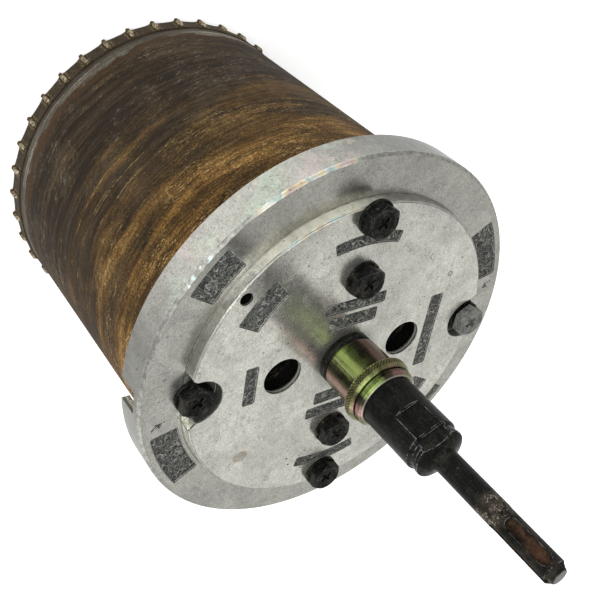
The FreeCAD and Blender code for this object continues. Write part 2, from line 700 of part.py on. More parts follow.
def make_snap_ring():
    inner = spindle_radius - SNAP_RING_GROOVE_DEPTH + FIT_GAP
    top = snap_ring_bottom + SNAP_RING_THICKNESS
    body = ring(SNAP_RING_DIAMETER / 2, inner, snap_ring_bottom, top)
    split = block(SNAP_RING_DIAMETER, SNAP_RING_SPLIT, snap_ring_bottom - CUT_PAST, top + CUT_PAST,
                  at(SNAP_RING_DIAMETER / 2, 0), 0)
    return body.cut(split)


def make_ball(number):
    angle = BALL_START_ANGLE + 360 / BALL_COUNT * number
    return Part.makeSphere(ball_radius, at(ball_orbit_radius, angle, ball_height))


def arbor_blank():
    """The turned shape of the arbor, from its spigot to the tip of its shank."""
    head = arbor_body_radius - ARBOR_HEAD_STEP
    neck = arbor_body_radius - ARBOR_NECK_STEP
    head_bottom = arbor_head_top - ARBOR_HEAD_LAND
    slope = math.radians(ARBOR_HEAD_END_SLOPE)
    fillet_start = shank_radius + SHANK_FILLET * (1 - math.sin(slope))
    fillet_bottom = arbor_head_top + (head - fillet_start) * math.tan(slope)
    fillet_centre = (shank_radius + SHANK_FILLET, fillet_bottom + SHANK_FILLET * math.cos(slope))
    return turned_profile(
        (0, spigot_round_bottom),
        (spigot_radius, spigot_round_bottom),
        (spigot_radius, hub_top),
        (arbor_body_radius - ARBOR_BODY_CHAMFER, hub_top),
        (arbor_body_radius, hub_top + ARBOR_BODY_CHAMFER),
        (arbor_body_radius, arbor_body_top),
        (neck, arbor_body_top + ARBOR_NECK_CHAMFER_LENGTH),
        (neck, head_bottom - ARBOR_HEAD_FLARE_LENGTH),
        (head, head_bottom),
        (head, arbor_head_top),
        (fillet_start, fillet_bottom),
        profile_arc(fillet_centre, SHANK_FILLET, 270 - ARBOR_HEAD_END_SLOPE, 180),
        (shank_radius, shank_tip - SHANK_TIP_LENGTH),
        (SHANK_TIP_DIAMETER / 2, shank_tip),
        (0, shank_tip),
    )


def detent_groove():
    """A closed groove with ball ends along the shank, at angle 0."""
    radius = DETENT_GROOVE_WIDTH / 2
    offset = shank_radius - DETENT_GROOVE_DEPTH + radius
    top = shank_tip - DETENT_GROOVE_FROM_TIP - radius
    bottom = shank_tip - DETENT_GROOVE_FROM_TIP - DETENT_GROOVE_LENGTH + radius
    groove = rod(radius, bottom, top, Vector(offset, 0, 0))
    ends = [Part.makeSphere(radius, Vector(offset, 0, z)) for z in (bottom, top)]
    return groove.fuse(ends)


def drive_slot():
    """An open slot that runs out at the tip of the shank, at angle 0."""
    bottom = shank_tip - DRIVE_SLOT_LENGTH
    floor = shank_radius - DRIVE_SLOT_DEPTH
    radius = DRIVE_SLOT_WIDTH / 2
    slot = Part.makeBox(shank_radius, DRIVE_SLOT_WIDTH, DRIVE_SLOT_LENGTH,
                        Vector(floor, -radius, bottom + radius))
    end = Part.makeCylinder(radius, shank_radius, Vector(floor, 0, bottom + radius), Vector(1, 0, 0))
    return slot.fuse(end)


def make_arbor():
    body = arbor_blank()
    body = body.fuse(hexagon(DRIVE_HEX_ACROSS_FLATS, arbor_bottom, spigot_round_bottom))
    orbit = Vector(0, 0, ball_height)
    cuts = [Part.makeTorus(ball_orbit_radius, ball_radius + BALL_GROOVE_CLEARANCE, orbit)]
    flats_bottom = arbor_body_top - ARBOR_FLATS_LENGTH
    flats_depth = arbor_body_radius
    end_rise = arbor_body_radius * math.tan(math.radians(ARBOR_HEAD_END_SLOPE))
    for side in (0, 180):
        angle = ARBOR_FLATS_ANGLE + side
        cuts.append(block(flats_depth, 2 * arbor_body_radius, flats_bottom, arbor_head_top,
                          at((ARBOR_FLATS_ACROSS + flats_depth) / 2, angle), angle))
        cuts.append(block(flats_depth, 2 * arbor_body_radius, arbor_body_top,
                          arbor_head_top + end_rise,
                          at((ARBOR_HEAD_FLATS_ACROSS + flats_depth) / 2, angle), angle))
        cuts.append(turned(detent_groove(), DETENT_GROOVE_ANGLE + side))
        cuts.append(turned(drive_slot(), DETENT_GROOVE_ANGLE + 90 + side))
    bore_top = arbor_bottom + DRILL_BORE_DEPTH
    cuts.append(rod(drill_bore_radius, arbor_bottom - CUT_PAST, bore_top))
    cuts.append(cone(drill_bore_radius, 0, bore_top, bore_top + drill_bore_radius / 2))
    cuts.append(Part.makeCylinder(SET_SCREW_DIAMETER / 2 + FIT_GAP, arbor_body_radius + CUT_PAST,
                                  at(0, 0, set_screw_height), at(1, SET_SCREW_ANGLE)))
    return body.cut(cuts).removeSplitter()


def fluted_rod(bottom, top):
    """The twisted part of the centre drill, with two flutes."""
    section = Part.Face(Part.Wire(Part.makeCircle(drill_radius, Vector(0, 0, bottom))))
    flute_offset = DRILL_WEB / 2 + DRILL_FLUTE_RADIUS
    for side in (-1, 1):
        centre = Vector(side * flute_offset, 0, bottom)
        flute = Part.Face(Part.Wire(Part.makeCircle(DRILL_FLUTE_RADIUS, centre)))
        section = section.cut(flute)
    outline = section.Faces[0].OuterWire
    axis = Part.Wire(Part.makeLine(Vector(0, 0, bottom), Vector(0, 0, top)))
    guide = Part.makeHelix(DRILL_FLUTE_PITCH, top - bottom, drill_radius)
    guide.translate(Vector(0, 0, bottom))
    sweep = Part.BRepOffsetAPI.MakePipeShell(axis)
    sweep.setAuxiliarySpine(Part.Wire(guide), True, 0)
    sweep.add(outline)
    sweep.build()
    sweep.makeSolid()
    return sweep.shape()


def make_centre_drill():
    point = DRILL_TIP_CLEARANCE
    shoulder = point + DRILL_POINT_LENGTH
    flute_top = shoulder + DRILL_FLUTE_LENGTH
    body = fluted_rod(shoulder, flute_top)
    body = body.fuse(rod(drill_radius, flute_top, drill_top))
    carbide_top = point + CARBIDE_HEIGHT
    slot = block(2 * CARBIDE_WIDTH, CARBIDE_THICKNESS + 2 * CARBIDE_SLOT_GAP,
                 point - CUT_PAST, carbide_top, Vector(0, 0, 0), 0)
    flat = block(2 * drill_radius, 2 * drill_radius,
                 set_screw_height - DRILL_FLAT_LENGTH / 2, set_screw_height + DRILL_FLAT_LENGTH / 2,
                 at(2 * drill_radius - DRILL_FLAT_DEPTH, SET_SCREW_ANGLE), SET_SCREW_ANGLE)
    return body.cut([slot, flat])


def make_carbide_tip():
    """The hard plate across the end of the centre drill, with a roof-shaped cutting edge."""
    half = CARBIDE_WIDTH / 2
    point = DRILL_TIP_CLEARANCE
    shoulder = point + DRILL_POINT_LENGTH
    top = point + CARBIDE_HEIGHT
    outline = [(0, point), (half, shoulder), (half, top), (-half, top), (-half, shoulder)]
    back = -CARBIDE_THICKNESS / 2
    points = [Vector(x, back, z) for x, z in outline + outline[:1]]
    return Part.Face(Part.makePolygon(points)).extrude(Vector(0, CARBIDE_THICKNESS, 0))


def make_set_screw():
    inner = drill_radius - DRILL_FLAT_DEPTH
    direction = at(1, SET_SCREW_ANGLE)
    start = at(inner, SET_SCREW_ANGLE, set_screw_height)
    body = Part.makeCylinder(SET_SCREW_DIAMETER / 2, SET_SCREW_LENGTH, start, direction)
    socket = hexagon(SET_SCREW_HEX, 0, SET_SCREW_HEX_DEPTH + CUT_PAST)
    socket.rotate(Vector(0, 0, 0), Vector(0, 1, 0), 90)
    socket.rotate(Vector(0, 0, 0), Vector(0, 0, 1), SET_SCREW_ANGLE)
    reach = inner + SET_SCREW_LENGTH - SET_SCREW_HEX_DEPTH
    socket.translate(at(reach, SET_SCREW_ANGLE, set_screw_height))
    return body.cut(socket)


def make_pieces():
    """Every piece of the bit, by node name."""
    pieces = {
        "cutting_crown": make_cutting_crown(),
        "core_tube": make_core_tube(),
        "tube_end_plate": make_tube_end_plate(),
        "adapter_plate": make_adapter_plate(),
    }
    for name, place in fixed_bolt_places().items():
        kind, number = name.split("_")
        pieces[f"{kind}_washer_{number}"] = make_washer(place, boss_top)
        pieces[f"{kind}_bolt_{number}"] = make_bolt(place, boss_top + WASHER_THICKNESS)
    side = side_bolt_places()
    side_seat = annulus_top + WASHER_THICKNESS
    for name, place in side.items():
        number = name.split("_")[1]
        pieces[f"side_washer_{number}"] = make_washer(place, annulus_top)
    pieces["side_bolt_1"] = make_bolt(side["side_1"], side_seat)
    pieces["side_spring_washer"] = make_spring_washer(side["side_2"], side_seat)
    loose_seat = pieces["side_spring_washer"].BoundBox.ZMax + FIT_GAP
    pieces["side_bolt_2"] = make_bolt(side["side_2"], loose_seat)
    pieces["hub"] = make_hub()
    pieces["hub_washer"] = ring(HUB_WASHER_DIAMETER / 2, HUB_THREAD_DIAMETER / 2 + FIT_GAP,
                                hub_washer_bottom, plate_bottom)
    pieces["hub_nut"] = make_hub_nut()
    pieces["lock_sleeve"] = make_lock_sleeve()
    pieces["sleeve_spring"] = make_sleeve_spring()
    pieces["snap_ring"] = make_snap_ring()
    for number in range(BALL_COUNT):
        pieces[f"lock_ball_{number + 1}"] = make_ball(number)
    pieces["arbor"] = make_arbor()
    pieces["centre_drill"] = make_centre_drill()
    pieces["carbide_tip"] = make_carbide_tip()
    pieces["set_screw"] = make_set_screw()
    return pieces


os.makedirs("parts", exist_ok=True)
for node, shape in make_pieces().items():
    print(f"{node}: {len(shape.Solids)} solid, {shape.Volume / 1000:.2f} cm3, valid {shape.isValid()}")
    shape.exportStep(f"parts/{node}.step")
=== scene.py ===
import json
import math

import bmesh
import bpy
from bpy.props import FloatProperty, FloatVectorProperty, IntProperty, PointerProperty
from bpy.types import Operator, Panel, PropertyGroup
from mathutils import Matrix, Vector


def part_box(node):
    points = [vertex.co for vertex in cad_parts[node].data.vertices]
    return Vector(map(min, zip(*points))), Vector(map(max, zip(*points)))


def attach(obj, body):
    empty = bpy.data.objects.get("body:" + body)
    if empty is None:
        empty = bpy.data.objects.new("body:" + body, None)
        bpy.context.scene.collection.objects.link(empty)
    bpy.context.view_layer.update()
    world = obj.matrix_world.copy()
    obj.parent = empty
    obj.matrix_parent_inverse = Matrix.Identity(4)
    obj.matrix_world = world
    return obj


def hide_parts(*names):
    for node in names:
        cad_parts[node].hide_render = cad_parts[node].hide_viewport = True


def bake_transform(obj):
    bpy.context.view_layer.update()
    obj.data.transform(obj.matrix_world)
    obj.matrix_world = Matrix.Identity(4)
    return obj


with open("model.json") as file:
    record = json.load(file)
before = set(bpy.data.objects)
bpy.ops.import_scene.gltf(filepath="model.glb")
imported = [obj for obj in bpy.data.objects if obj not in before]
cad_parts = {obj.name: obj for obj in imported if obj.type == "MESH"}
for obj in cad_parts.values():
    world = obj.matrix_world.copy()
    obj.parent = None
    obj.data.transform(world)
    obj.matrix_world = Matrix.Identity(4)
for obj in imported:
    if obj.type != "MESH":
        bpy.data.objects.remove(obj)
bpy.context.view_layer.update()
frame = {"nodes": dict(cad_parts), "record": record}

bl_info = {
    "name": "Core drill bit looks",
    "version": (1, 0, 0),
    "blender": (4, 5, 0),
    "location": "3D view, sidebar, Core bit",
    "description": "Finishes, fine detail and studio for a dry core drill bit",
    "category": "Object",
}

MM = 0.001


def corners(node):
    """The lowest and highest corner of a CAD node, in millimetres."""
    low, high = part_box(node)
    return low / MM, high / MM


plate_high = corners("adapter_plate")[1]
tube_low, tube_high = corners("core_tube")
crown_high = corners("cutting_crown")[1]
sleeve_low, sleeve_high = corners("lock_sleeve")
arbor_high = corners("arbor")[1]

# Sizes of the casting in millimetres; heights are above the plane of the teeth
BOSS_TOP = plate_high.z
BOSS_HEIGHT = 5.3
ANNULUS_TOP = BOSS_TOP - BOSS_HEIGHT
BOSS_RADIUS = 71.25
PLATE_RADIUS = plate_high.x
PAD_DEPTH = 0.7
DOWEL_RADIUS = BOSS_RADIUS - 4.15
DOWEL_ANGLE = math.radians(50)
SIDE_BOLT_RADIUS = BOSS_RADIUS - 4.45
EJECTION_HOLE_PLACE = 30.0
HUB_COLLAR_RADIUS = 12.5
# Places of the dried stain and of the small nub on the boss
STAIN_X, STAIN_Y = -37.7, 44.9
NUB_X, NUB_Y = 28.6, -48.6
# The side that faces the light and the camera, as an azimuth; painted light and shade on the plate
# follow it
LIT_SIDE = math.radians(34)

# Cutting ridges of the crown
TOOTH_COUNT = 40
TOOTH_PROUD = 1.6
TOOTH_START = math.radians(7.4)

# Rows and columns of faces on the knurl
KNURL_ROWS = 18
COLUMNS_PER_DIAMOND = 8
# Heights on the lock sleeve above its lower end
BARREL_TOP = 16.8
KNURL_LOW = 17.3
KNURL_HIGH = 20.1
SHOULDER_TOP = 21.5
GROOVE_TOP = 22.2
BAND_TOP = 24.3
LIP_TOP = 25.4

# Heights on the arbor below the shank's tip
HEAD_DEPTH = 57.4
CEMENT_LOW, CEMENT_HIGH = 32.5, 26.5
GROOVE_LOW, GROOVE_HIGH = 24.0, 3.5


def distance(across, along):
    """How far a step leads that has two legs at right angles."""
    return (across * across + along * along) ** 0.5


def colour(name, default, description):
    """A colour that a user can change."""
    return FloatVectorProperty(name=name, description=description, subtype="COLOR", size=3,
                               min=0, max=1, default=default)


def length(name, default, description):
    """A length in metres that a user can change."""
    return FloatProperty(name=name, description=description, subtype="DISTANCE", unit="LENGTH",
                         precision=5, default=default)


def share(name, default, description):
    """A share from 0 to 1 that a user can change."""
    return FloatProperty(name=name, description=description, subtype="FACTOR", min=0, max=1,
                         default=default)


class PlateLook(PropertyGroup):
    """Zinc plating of the adapter plate."""
    zinc: colour("Zinc", (0.84, 0.835, 0.75), "Clean zinc plating")
    # Worn zinc also colours the painted highlight strokes on the pads
    worn: colour("Worn zinc", (0.46, 0.455, 0.415), "Dull patches of the plating")
    # Scratches also colours the painted shade in the corner at the base of the boss wall
    scratch: colour("Scratches", (0.16, 0.155, 0.14), "Dirt in fine scratches")
    # Pads also darkens the base of the hub and paints the shadow ring round the nub
    pad: colour("Pads", (0.050, 0.052, 0.047), "Rough floors of the recessed pads")
    pad_fleck: colour("Pad flecks", (0.13, 0.135, 0.12), "Metal on high spots of the pads")
    # Deep holes colours the painted shade in the holes and in the side bolts' pockets, and the
    # darkest tone of the pads with the painted shadow lines beside their strokes
    deep: colour("Deep holes", (0.006, 0.006, 0.0055), "Dark hollows of the casting")
    stain: colour("Stain", (0.33, 0.28, 0.21), "Dried dirt on the plate")
    # The tints also colour the painted highlight on the chamfers
    green: colour("Green tint", (0.50, 0.66, 0.50), "Green interference tint of the plating")
    cyan: colour("Cyan tint", (0.47, 0.66, 0.64), "Cyan interference tint of the plating")
    pink: colour("Pink tint", (0.66, 0.50, 0.50), "Pink interference tint of the plating")
    peach: colour("Peach tint", (0.86, 0.74, 0.44), "Golden interference tint of the plating")
    # The wall highlight colour paints a highlight on the boss wall
    wall_highlight: colour("Rubbed wall", (0.82, 0.80, 0.66), "Plating rubbed bright on the boss wall")
    roughness: share("Roughness", 0.21, "Roughness of the clean plating")
    brushed: share("Turning marks", 0.84, "How far the turned face stretches its reflections")
    edge: length("Edge radius", 0.00022, "How far the edges of the casting are broken")


class TubeLook(PropertyGroup):
    """Rust and rub marks of the core tube and its crown."""
    dark: colour("Dark rust", (0.008, 0.005, 0.003), "Deep rust between the streaks")
    olive: colour("Olive", (0.030, 0.021, 0.013), "Old dull rust low on the tube")
    brown: colour("Brown rust", (0.042, 0.026, 0.011), "Main rust")
    orange: colour("Orange rust", (0.090, 0.048, 0.013), "Rust towards the plate")
    bright: colour("Fresh rust", (0.200, 0.110, 0.030), "Fresh rust near the plate")
    red: colour("Red rust", (0.075, 0.037, 0.014), "Rust along the rubbed band")
    gold: colour("Golden streaks", (0.50, 0.34, 0.14), "Dust and rubbed streaks round the tube")
    grey: colour("Bare grey", (0.116, 0.107, 0.083), "Steel rubbed bare near the rim")
    # Pale ticks also colour a painted glint on each crown rib
    tick: colour("Pale ticks", (0.42, 0.38, 0.30), "Short bare scratches")
    bronze: colour("Crown", (0.052, 0.038, 0.020), "Sintered crown between its teeth")
    crest: colour("Tooth ribs", (0.25, 0.192, 0.105), "Worn ribs of the teeth")
    shine: share("Shine", 0.07, "How strongly the rust and the crown mirror their surroundings")
    edge: length("Edge radius", 0.00022, "How far the edges of the crown are broken")


class BlackLook(PropertyGroup):
    """Black oxide on bolts, hub and arbor."""
    oxide: colour("Black oxide", (0.0062, 0.0068, 0.0058), "Clean black oxide")
    dusty: colour("Dust", (0.11, 0.075, 0.045), "Brown dust in the recesses")
    bare: colour("Bare steel", (0.52, 0.51, 0.49), "Steel where the oxide is worn off")
    worn: colour("Worn bolt", (0.13, 0.135, 0.125), "Oxide worn to grey on one side bolt")
    cement: colour("Cement", (0.42, 0.40, 0.36), "Cement specks on the shank")
    rust: colour("Rust", (0.085, 0.040, 0.020), "Rust in the shank's grooves")
    shine: share("Shine", 0.05, "How strongly the oxide mirrors its surroundings")
    edge: length("Edge radius", 0.0002, "How far the edges of small steel parts are broken")
    arbor_edge: length("Arbor edge radius", 0.00020, "How far the edges of the arbor are broken")


class ChromateLook(PropertyGroup):
    """Yellow chromate on the lock sleeve."""
    # Worn spots also colours the lip's top edge, partly a painted highlight
    bare: colour("Worn spots", (0.40, 0.39, 0.33), "Steel where the chromate is rubbed off")
    # Green, dark band and pink are laid by azimuth round the camera's side as a painted reflection
    # tint; the dark band colour also paints shade in the knurl and the groove
    green: colour("Green", (0.115, 0.155, 0.045), "Green band of the chromate")
    yellow: colour("Yellow", (0.150, 0.150, 0.062), "Yellow of the knurl and of clean chromate")
    dark: colour("Dark band", (0.042, 0.038, 0.022), "Dark bands beside the green")
    pink: colour("Pink", (0.200, 0.110, 0.098), "Pink bands of the chromate")
    knurl_depth: length("Knurl depth", 0.0004, "Depth of the diamond knurl")
    knurl_count: IntProperty(name="Knurl count", description="Diamonds round the grip ring",
                             default=66, min=12, max=120)


class StudioLook(PropertyGroup):
    """Camera, lights and floor."""
    camera_place: FloatVectorProperty(name="Camera", description="Where the camera stands",
                                      subtype="TRANSLATION", unit="LENGTH", size=3,
                                      default=(0.22078, 0.19192, 0.36798))
    camera_aim: FloatVectorProperty(name="Aim", description="Point at the middle of the picture",
                                    subtype="TRANSLATION", unit="LENGTH", size=3,
                                    default=(0.00213, -0.00240, 0.12842))
    camera_roll: FloatProperty(name="Roll", description="Turn of the camera about its view",
                               subtype="ANGLE", unit="ROTATION", default=math.radians(135.38))
    camera_lens: FloatProperty(name="Lens", description="Focal length for a 36 mm sensor",
                               subtype="DISTANCE_CAMERA", default=52.456)
    floor: colour("Floor", (0.93, 0.93, 0.93), "Colour of the pale floor")
    floor_glow: share("Floor glow", 0.30, "Light that the floor gives off, to soften shadows")
    floor_width: length("Floor width", 60.0, "Width of the floor")
    sky: FloatProperty(name="Sky", description="Brightness of the white surroundings", default=0.72)
    sun: FloatProperty(name="Soft sun", description="Strength of the wide light from the front",
                       default=1.7)
    panel: FloatProperty(name="Panel", description="Power of the panel that glances off the plate",
                         unit="POWER", default=3.0)


def overload(operation, reflected=False):
    """An operator of Value, or its reflected form, that adds a Math node."""
    def apply(self, other):
        return self.maths(operation, *((other, self) if reflected else (self, other)))
    return apply


class Value:
    """A number that changes over a surface; plain sums on it build its Math nodes."""

    def __init__(self, coat, socket):
        self.coat = coat
        self.socket = socket

    def maths(self, operation, *numbers):
        node = self.coat.node("ShaderNodeMath", {"operation": operation},
                              dict(enumerate(numbers)))
        return Value(self.coat, node.outputs[0])

    __add__ = __radd__ = overload("ADD")
    __mul__ = __rmul__ = overload("MULTIPLY")
    __sub__ = overload("SUBTRACT")
    __rsub__ = overload("SUBTRACT", reflected=True)
    __truediv__ = overload("DIVIDE")
    __rtruediv__ = overload("DIVIDE", reflected=True)
    __pow__ = overload("POWER")
    __rpow__ = overload("POWER", reflected=True)
    __lt__ = overload("LESS_THAN")
    __gt__ = overload("GREATER_THAN")

    def absolute(self):
        return self.maths("ABSOLUTE", self)

    def larger(self, other):
        return self.maths("MAXIMUM", self, other)

    def cosine(self):
        return self.maths("COSINE", self)

    def rise(self, low, high):
        """0 below low, 1 above high, and smooth between them; falls if low is above high."""
        sockets = {"Value": self, "From Min": min(low, high), "From Max": max(low, high)}
        if low > high:
            sockets.update({"To Min": 1.0, "To Max": 0.0})
        node = self.coat.node("ShaderNodeMapRange", {"interpolation_type": "SMOOTHSTEP"}, sockets)
        return Value(self.coat, node.outputs[0])

    def within(self, low, high, soft):
        """1 between two limits, with soft edges."""
        return self.rise(low - soft, low) * self.rise(high + soft, high)

    def spread(self, span=0.16):
        """Noise, which keeps near a half, spread out over 0 to 1."""
        return self.rise(0.5 - span, 0.5 + span)


class Coat:
    """One material and its colour so far; every node comes from one method."""

    def __init__(self, name, base=None):
        self.base = base
        self.material = bpy.data.materials.new(name)
        self.material.use_nodes = True
        self.tree = self.material.node_tree
        self.tree.nodes.clear()
        self.shader = self.node("ShaderNodeBsdfPrincipled")
        self.node("ShaderNodeOutputMaterial", {}, {"Surface": self.shader.outputs[0]})
        place = self.node("ShaderNodeTexCoord").outputs["Object"]
        scaled = self.node("ShaderNodeVectorMath", {"operation": "SCALE"},
                           {"Vector": place, "Scale": 1 / MM})
        self.place = scaled.outputs[0]
        split = self.node("ShaderNodeSeparateXYZ", {}, {0: self.place})
        self.x, self.y, self.z = (Value(self, output) for output in split.outputs)
        self.radius = distance(self.x, self.y)
        self.angle = self.x.maths("ARCTAN2", self.y, self.x)

    def node(self, kind, settings=None, sockets=None):
        """Any node: its type, then its settings, then the values or links of its sockets."""
        made = self.tree.nodes.new(kind)
        for name, value in (settings or {}).items():
            if name == "stops":
                self.set_stops(made.color_ramp, value)
            else:
                setattr(made, name, value)
        self.fill(made, sockets or {})
        return made

    def fill(self, node, sockets):
        for name, value in sockets.items():
            socket = node.inputs[name]
            value = value.socket if isinstance(value, Value) else value
            if isinstance(value, bpy.types.NodeSocket):
                self.tree.links.new(value, socket)
            elif socket.type == "RGBA" and len(value) == 3:
                socket.default_value = (*value, 1)
            else:
                socket.default_value = value

    @staticmethod
    def set_stops(ramp, stops):
        while len(ramp.elements) > 1:
            ramp.elements.remove(ramp.elements[-1])
        for number, (position, tint) in enumerate(stops):
            element = ramp.elements[0] if number == 0 else ramp.elements.new(position)
            element.position = position
            element.color = (*tint, 1)

    def stretched(self, across, up, place=None, deep=None):
        """A place with its own scale level with the floor and another one upwards."""
        node = self.node("ShaderNodeVectorMath", {"operation": "MULTIPLY"},
                         {0: place or self.place, 1: (across, deep or across, up)})
        return node.outputs[0]

    def joined(self, x, y, z):
        """A place from its three values."""
        return self.node("ShaderNodeCombineXYZ", {}, {0: x, 1: y, 2: z}).outputs[0]

    def contours(self, place, width, detail=2, warp=0.0):
        """Thin lines that wander, where noise passes a half."""
        line = (self.noise(1.0, detail, 0.5, place=place, warp=warp) - 0.5).absolute()
        return line.rise(width, width * 0.2)

    def scratches(self, scale, share):
        """Thin lines along the axis with the smallest scale, in patches."""
        across, deep, up = scale
        patches = self.noise(0.09, 3, 0.6).rise(share, share + 0.08)
        return self.contours(self.stretched(across, up, deep=deep), 0.010, warp=0.3) * patches

    def noise(self, scale, detail=3.0, rough=0.55, place=None, warp=0.0):
        """Cloudy noise; scale is in features to the millimetre."""
        node = self.node("ShaderNodeTexNoise", {}, {
            "Vector": place or self.place, "Scale": scale, "Detail": detail,
            "Roughness": rough, "Distortion": warp})
        return Value(self, node.outputs[0])

    def grained(self, across, up, detail=3, rough=0.6, place=None, warp=0.0):
        """Noise drawn out level with the floor or upwards."""
        return self.noise(1.0, detail, rough, self.stretched(across, up, place), warp)

    def sector(self, first, last, soft):
        """1 between two azimuths; all three are in degrees."""
        return self.angle.within(*(math.radians(turn) for turn in (first, last, soft)))

    def specks(self, scale, size, keep):
        """Round specks: one to a cell at most, and only in the given share of the cells."""
        node = self.node("ShaderNodeTexVoronoi", {"feature": "F1"},
                         {"Vector": self.place, "Scale": scale, "Randomness": 1.0})
        chosen = self.node("ShaderNodeSeparateColor", {}, {0: node.outputs["Color"]})
        lot = Value(self, chosen.outputs[0])
        return Value(self, node.outputs["Distance"]).rise(size, size * 0.55) * (lot < keep)

    def mix(self, factor, first, second):
        """One colour laid over another by a factor."""
        node = self.node("ShaderNodeMix", {"data_type": "RGBA"}, {0: factor, 6: first, 7: second})
        return node.outputs[2]

    def ramp(self, value, stops):
        """A colour that changes with a value from 0 to 1."""
        return self.node("ShaderNodeValToRGB", {"stops": stops}, {0: value}).outputs[0]

    def tint(self, base, value, low, high):
        """A colour made darker or lighter by a value from 0 to 1."""
        grey = value * (high - low) + low
        shade = self.node("ShaderNodeCombineColor", {}, {0: grey, 1: grey, 2: grey})
        node = self.node("ShaderNodeMix", {"data_type": "RGBA", "blend_type": "MULTIPLY"},
                         {0: 1.0, 6: base, 7: shade.outputs[0]})
        return node.outputs[2]

    def facing_up(self):
        """1 on surfaces that look up, 0 on walls."""
        normal = self.node("ShaderNodeNewGeometry").outputs["Normal"]
        split = self.node("ShaderNodeSeparateXYZ", {}, {0: normal})
        return Value(self, split.outputs[2])

    def bump(self, height, depth, strength=1.0):
        """Relief from a height of 0 to 1; depth is in millimetres."""
        node = self.node("ShaderNodeBump", {}, {"Strength": strength, "Distance": depth * MM,
                                                "Height": height})
        return node.outputs[0]

    def lay(self, factor, colour):
        """Lays a colour over the base by a factor."""
        self.base = self.mix(factor, self.base, colour)

    def shade(self, value, low, high):
        """Makes the base darker or lighter by a value from 0 to 1."""
        self.base = self.tint(self.base, value, low, high)

    def done(self, roughness, metallic=0.0, normal=None, **fixed):
        """Fills the shader's sockets; fixed values go on the shader itself."""
        sockets = {"Base Color": self.base, "Roughness": roughness, "Metallic": metallic}
        if normal is not None:
            sockets["Normal"] = normal
        for name, value in fixed.items():
            sockets[name.replace("_", " ")] = value
        self.fill(self.shader, sockets)
        return self.material


def rainbow_tint(coat, look):
    """Long pieces of interference colour round the casting."""
    piece = coat.grained(0.11, 0.0, 1, 0.5)
    return coat.ramp(piece, [
        (0.28, look.peach), (0.36, look.zinc), (0.44, look.cyan), (0.50, look.zinc),
        (0.56, look.peach), (0.62, look.pink), (0.70, look.zinc)])


def towards_lit_side(coat):
    """1 on the side of the casting that faces the light and the camera, 0 away from it; painted
    light and shade follow it.
    """
    return (coat.angle - LIT_SIDE).cosine().rise(0.74, 1.01)


def chamfer_tint(coat, look):
    """Dull chamfers, with a painted highlight, bright and rainbow coloured, only at the azimuths
    that face the light.
    """
    # Painted highlight on the chamfers, at azimuths toward the light
    highlight_range = coat.sector(8, 30, 5)
    second = coat.sector(47, 55, 3)
    spots = coat.noise(0.35, 2, 0.6).rise(0.48, 0.60)
    bright = highlight_range.larger(second * spots * 0.8)
    boss_edge = (coat.z.rise(BOSS_TOP - 1.0, BOSS_TOP - 0.8)
                 * coat.radius.rise(BOSS_RADIUS - 1.5, BOSS_RADIUS - 0.8))
    bright = bright * boss_edge.larger(coat.radius.rise(PLATE_RADIUS - 2.2, PLATE_RADIUS - 1.8))
    dull = coat.tint(look.worn, coat.noise(0.5, 4, 0.7).spread(), 0.42, 0.80)
    return coat.mix(bright * 0.9, dull, rainbow_tint(coat, look))


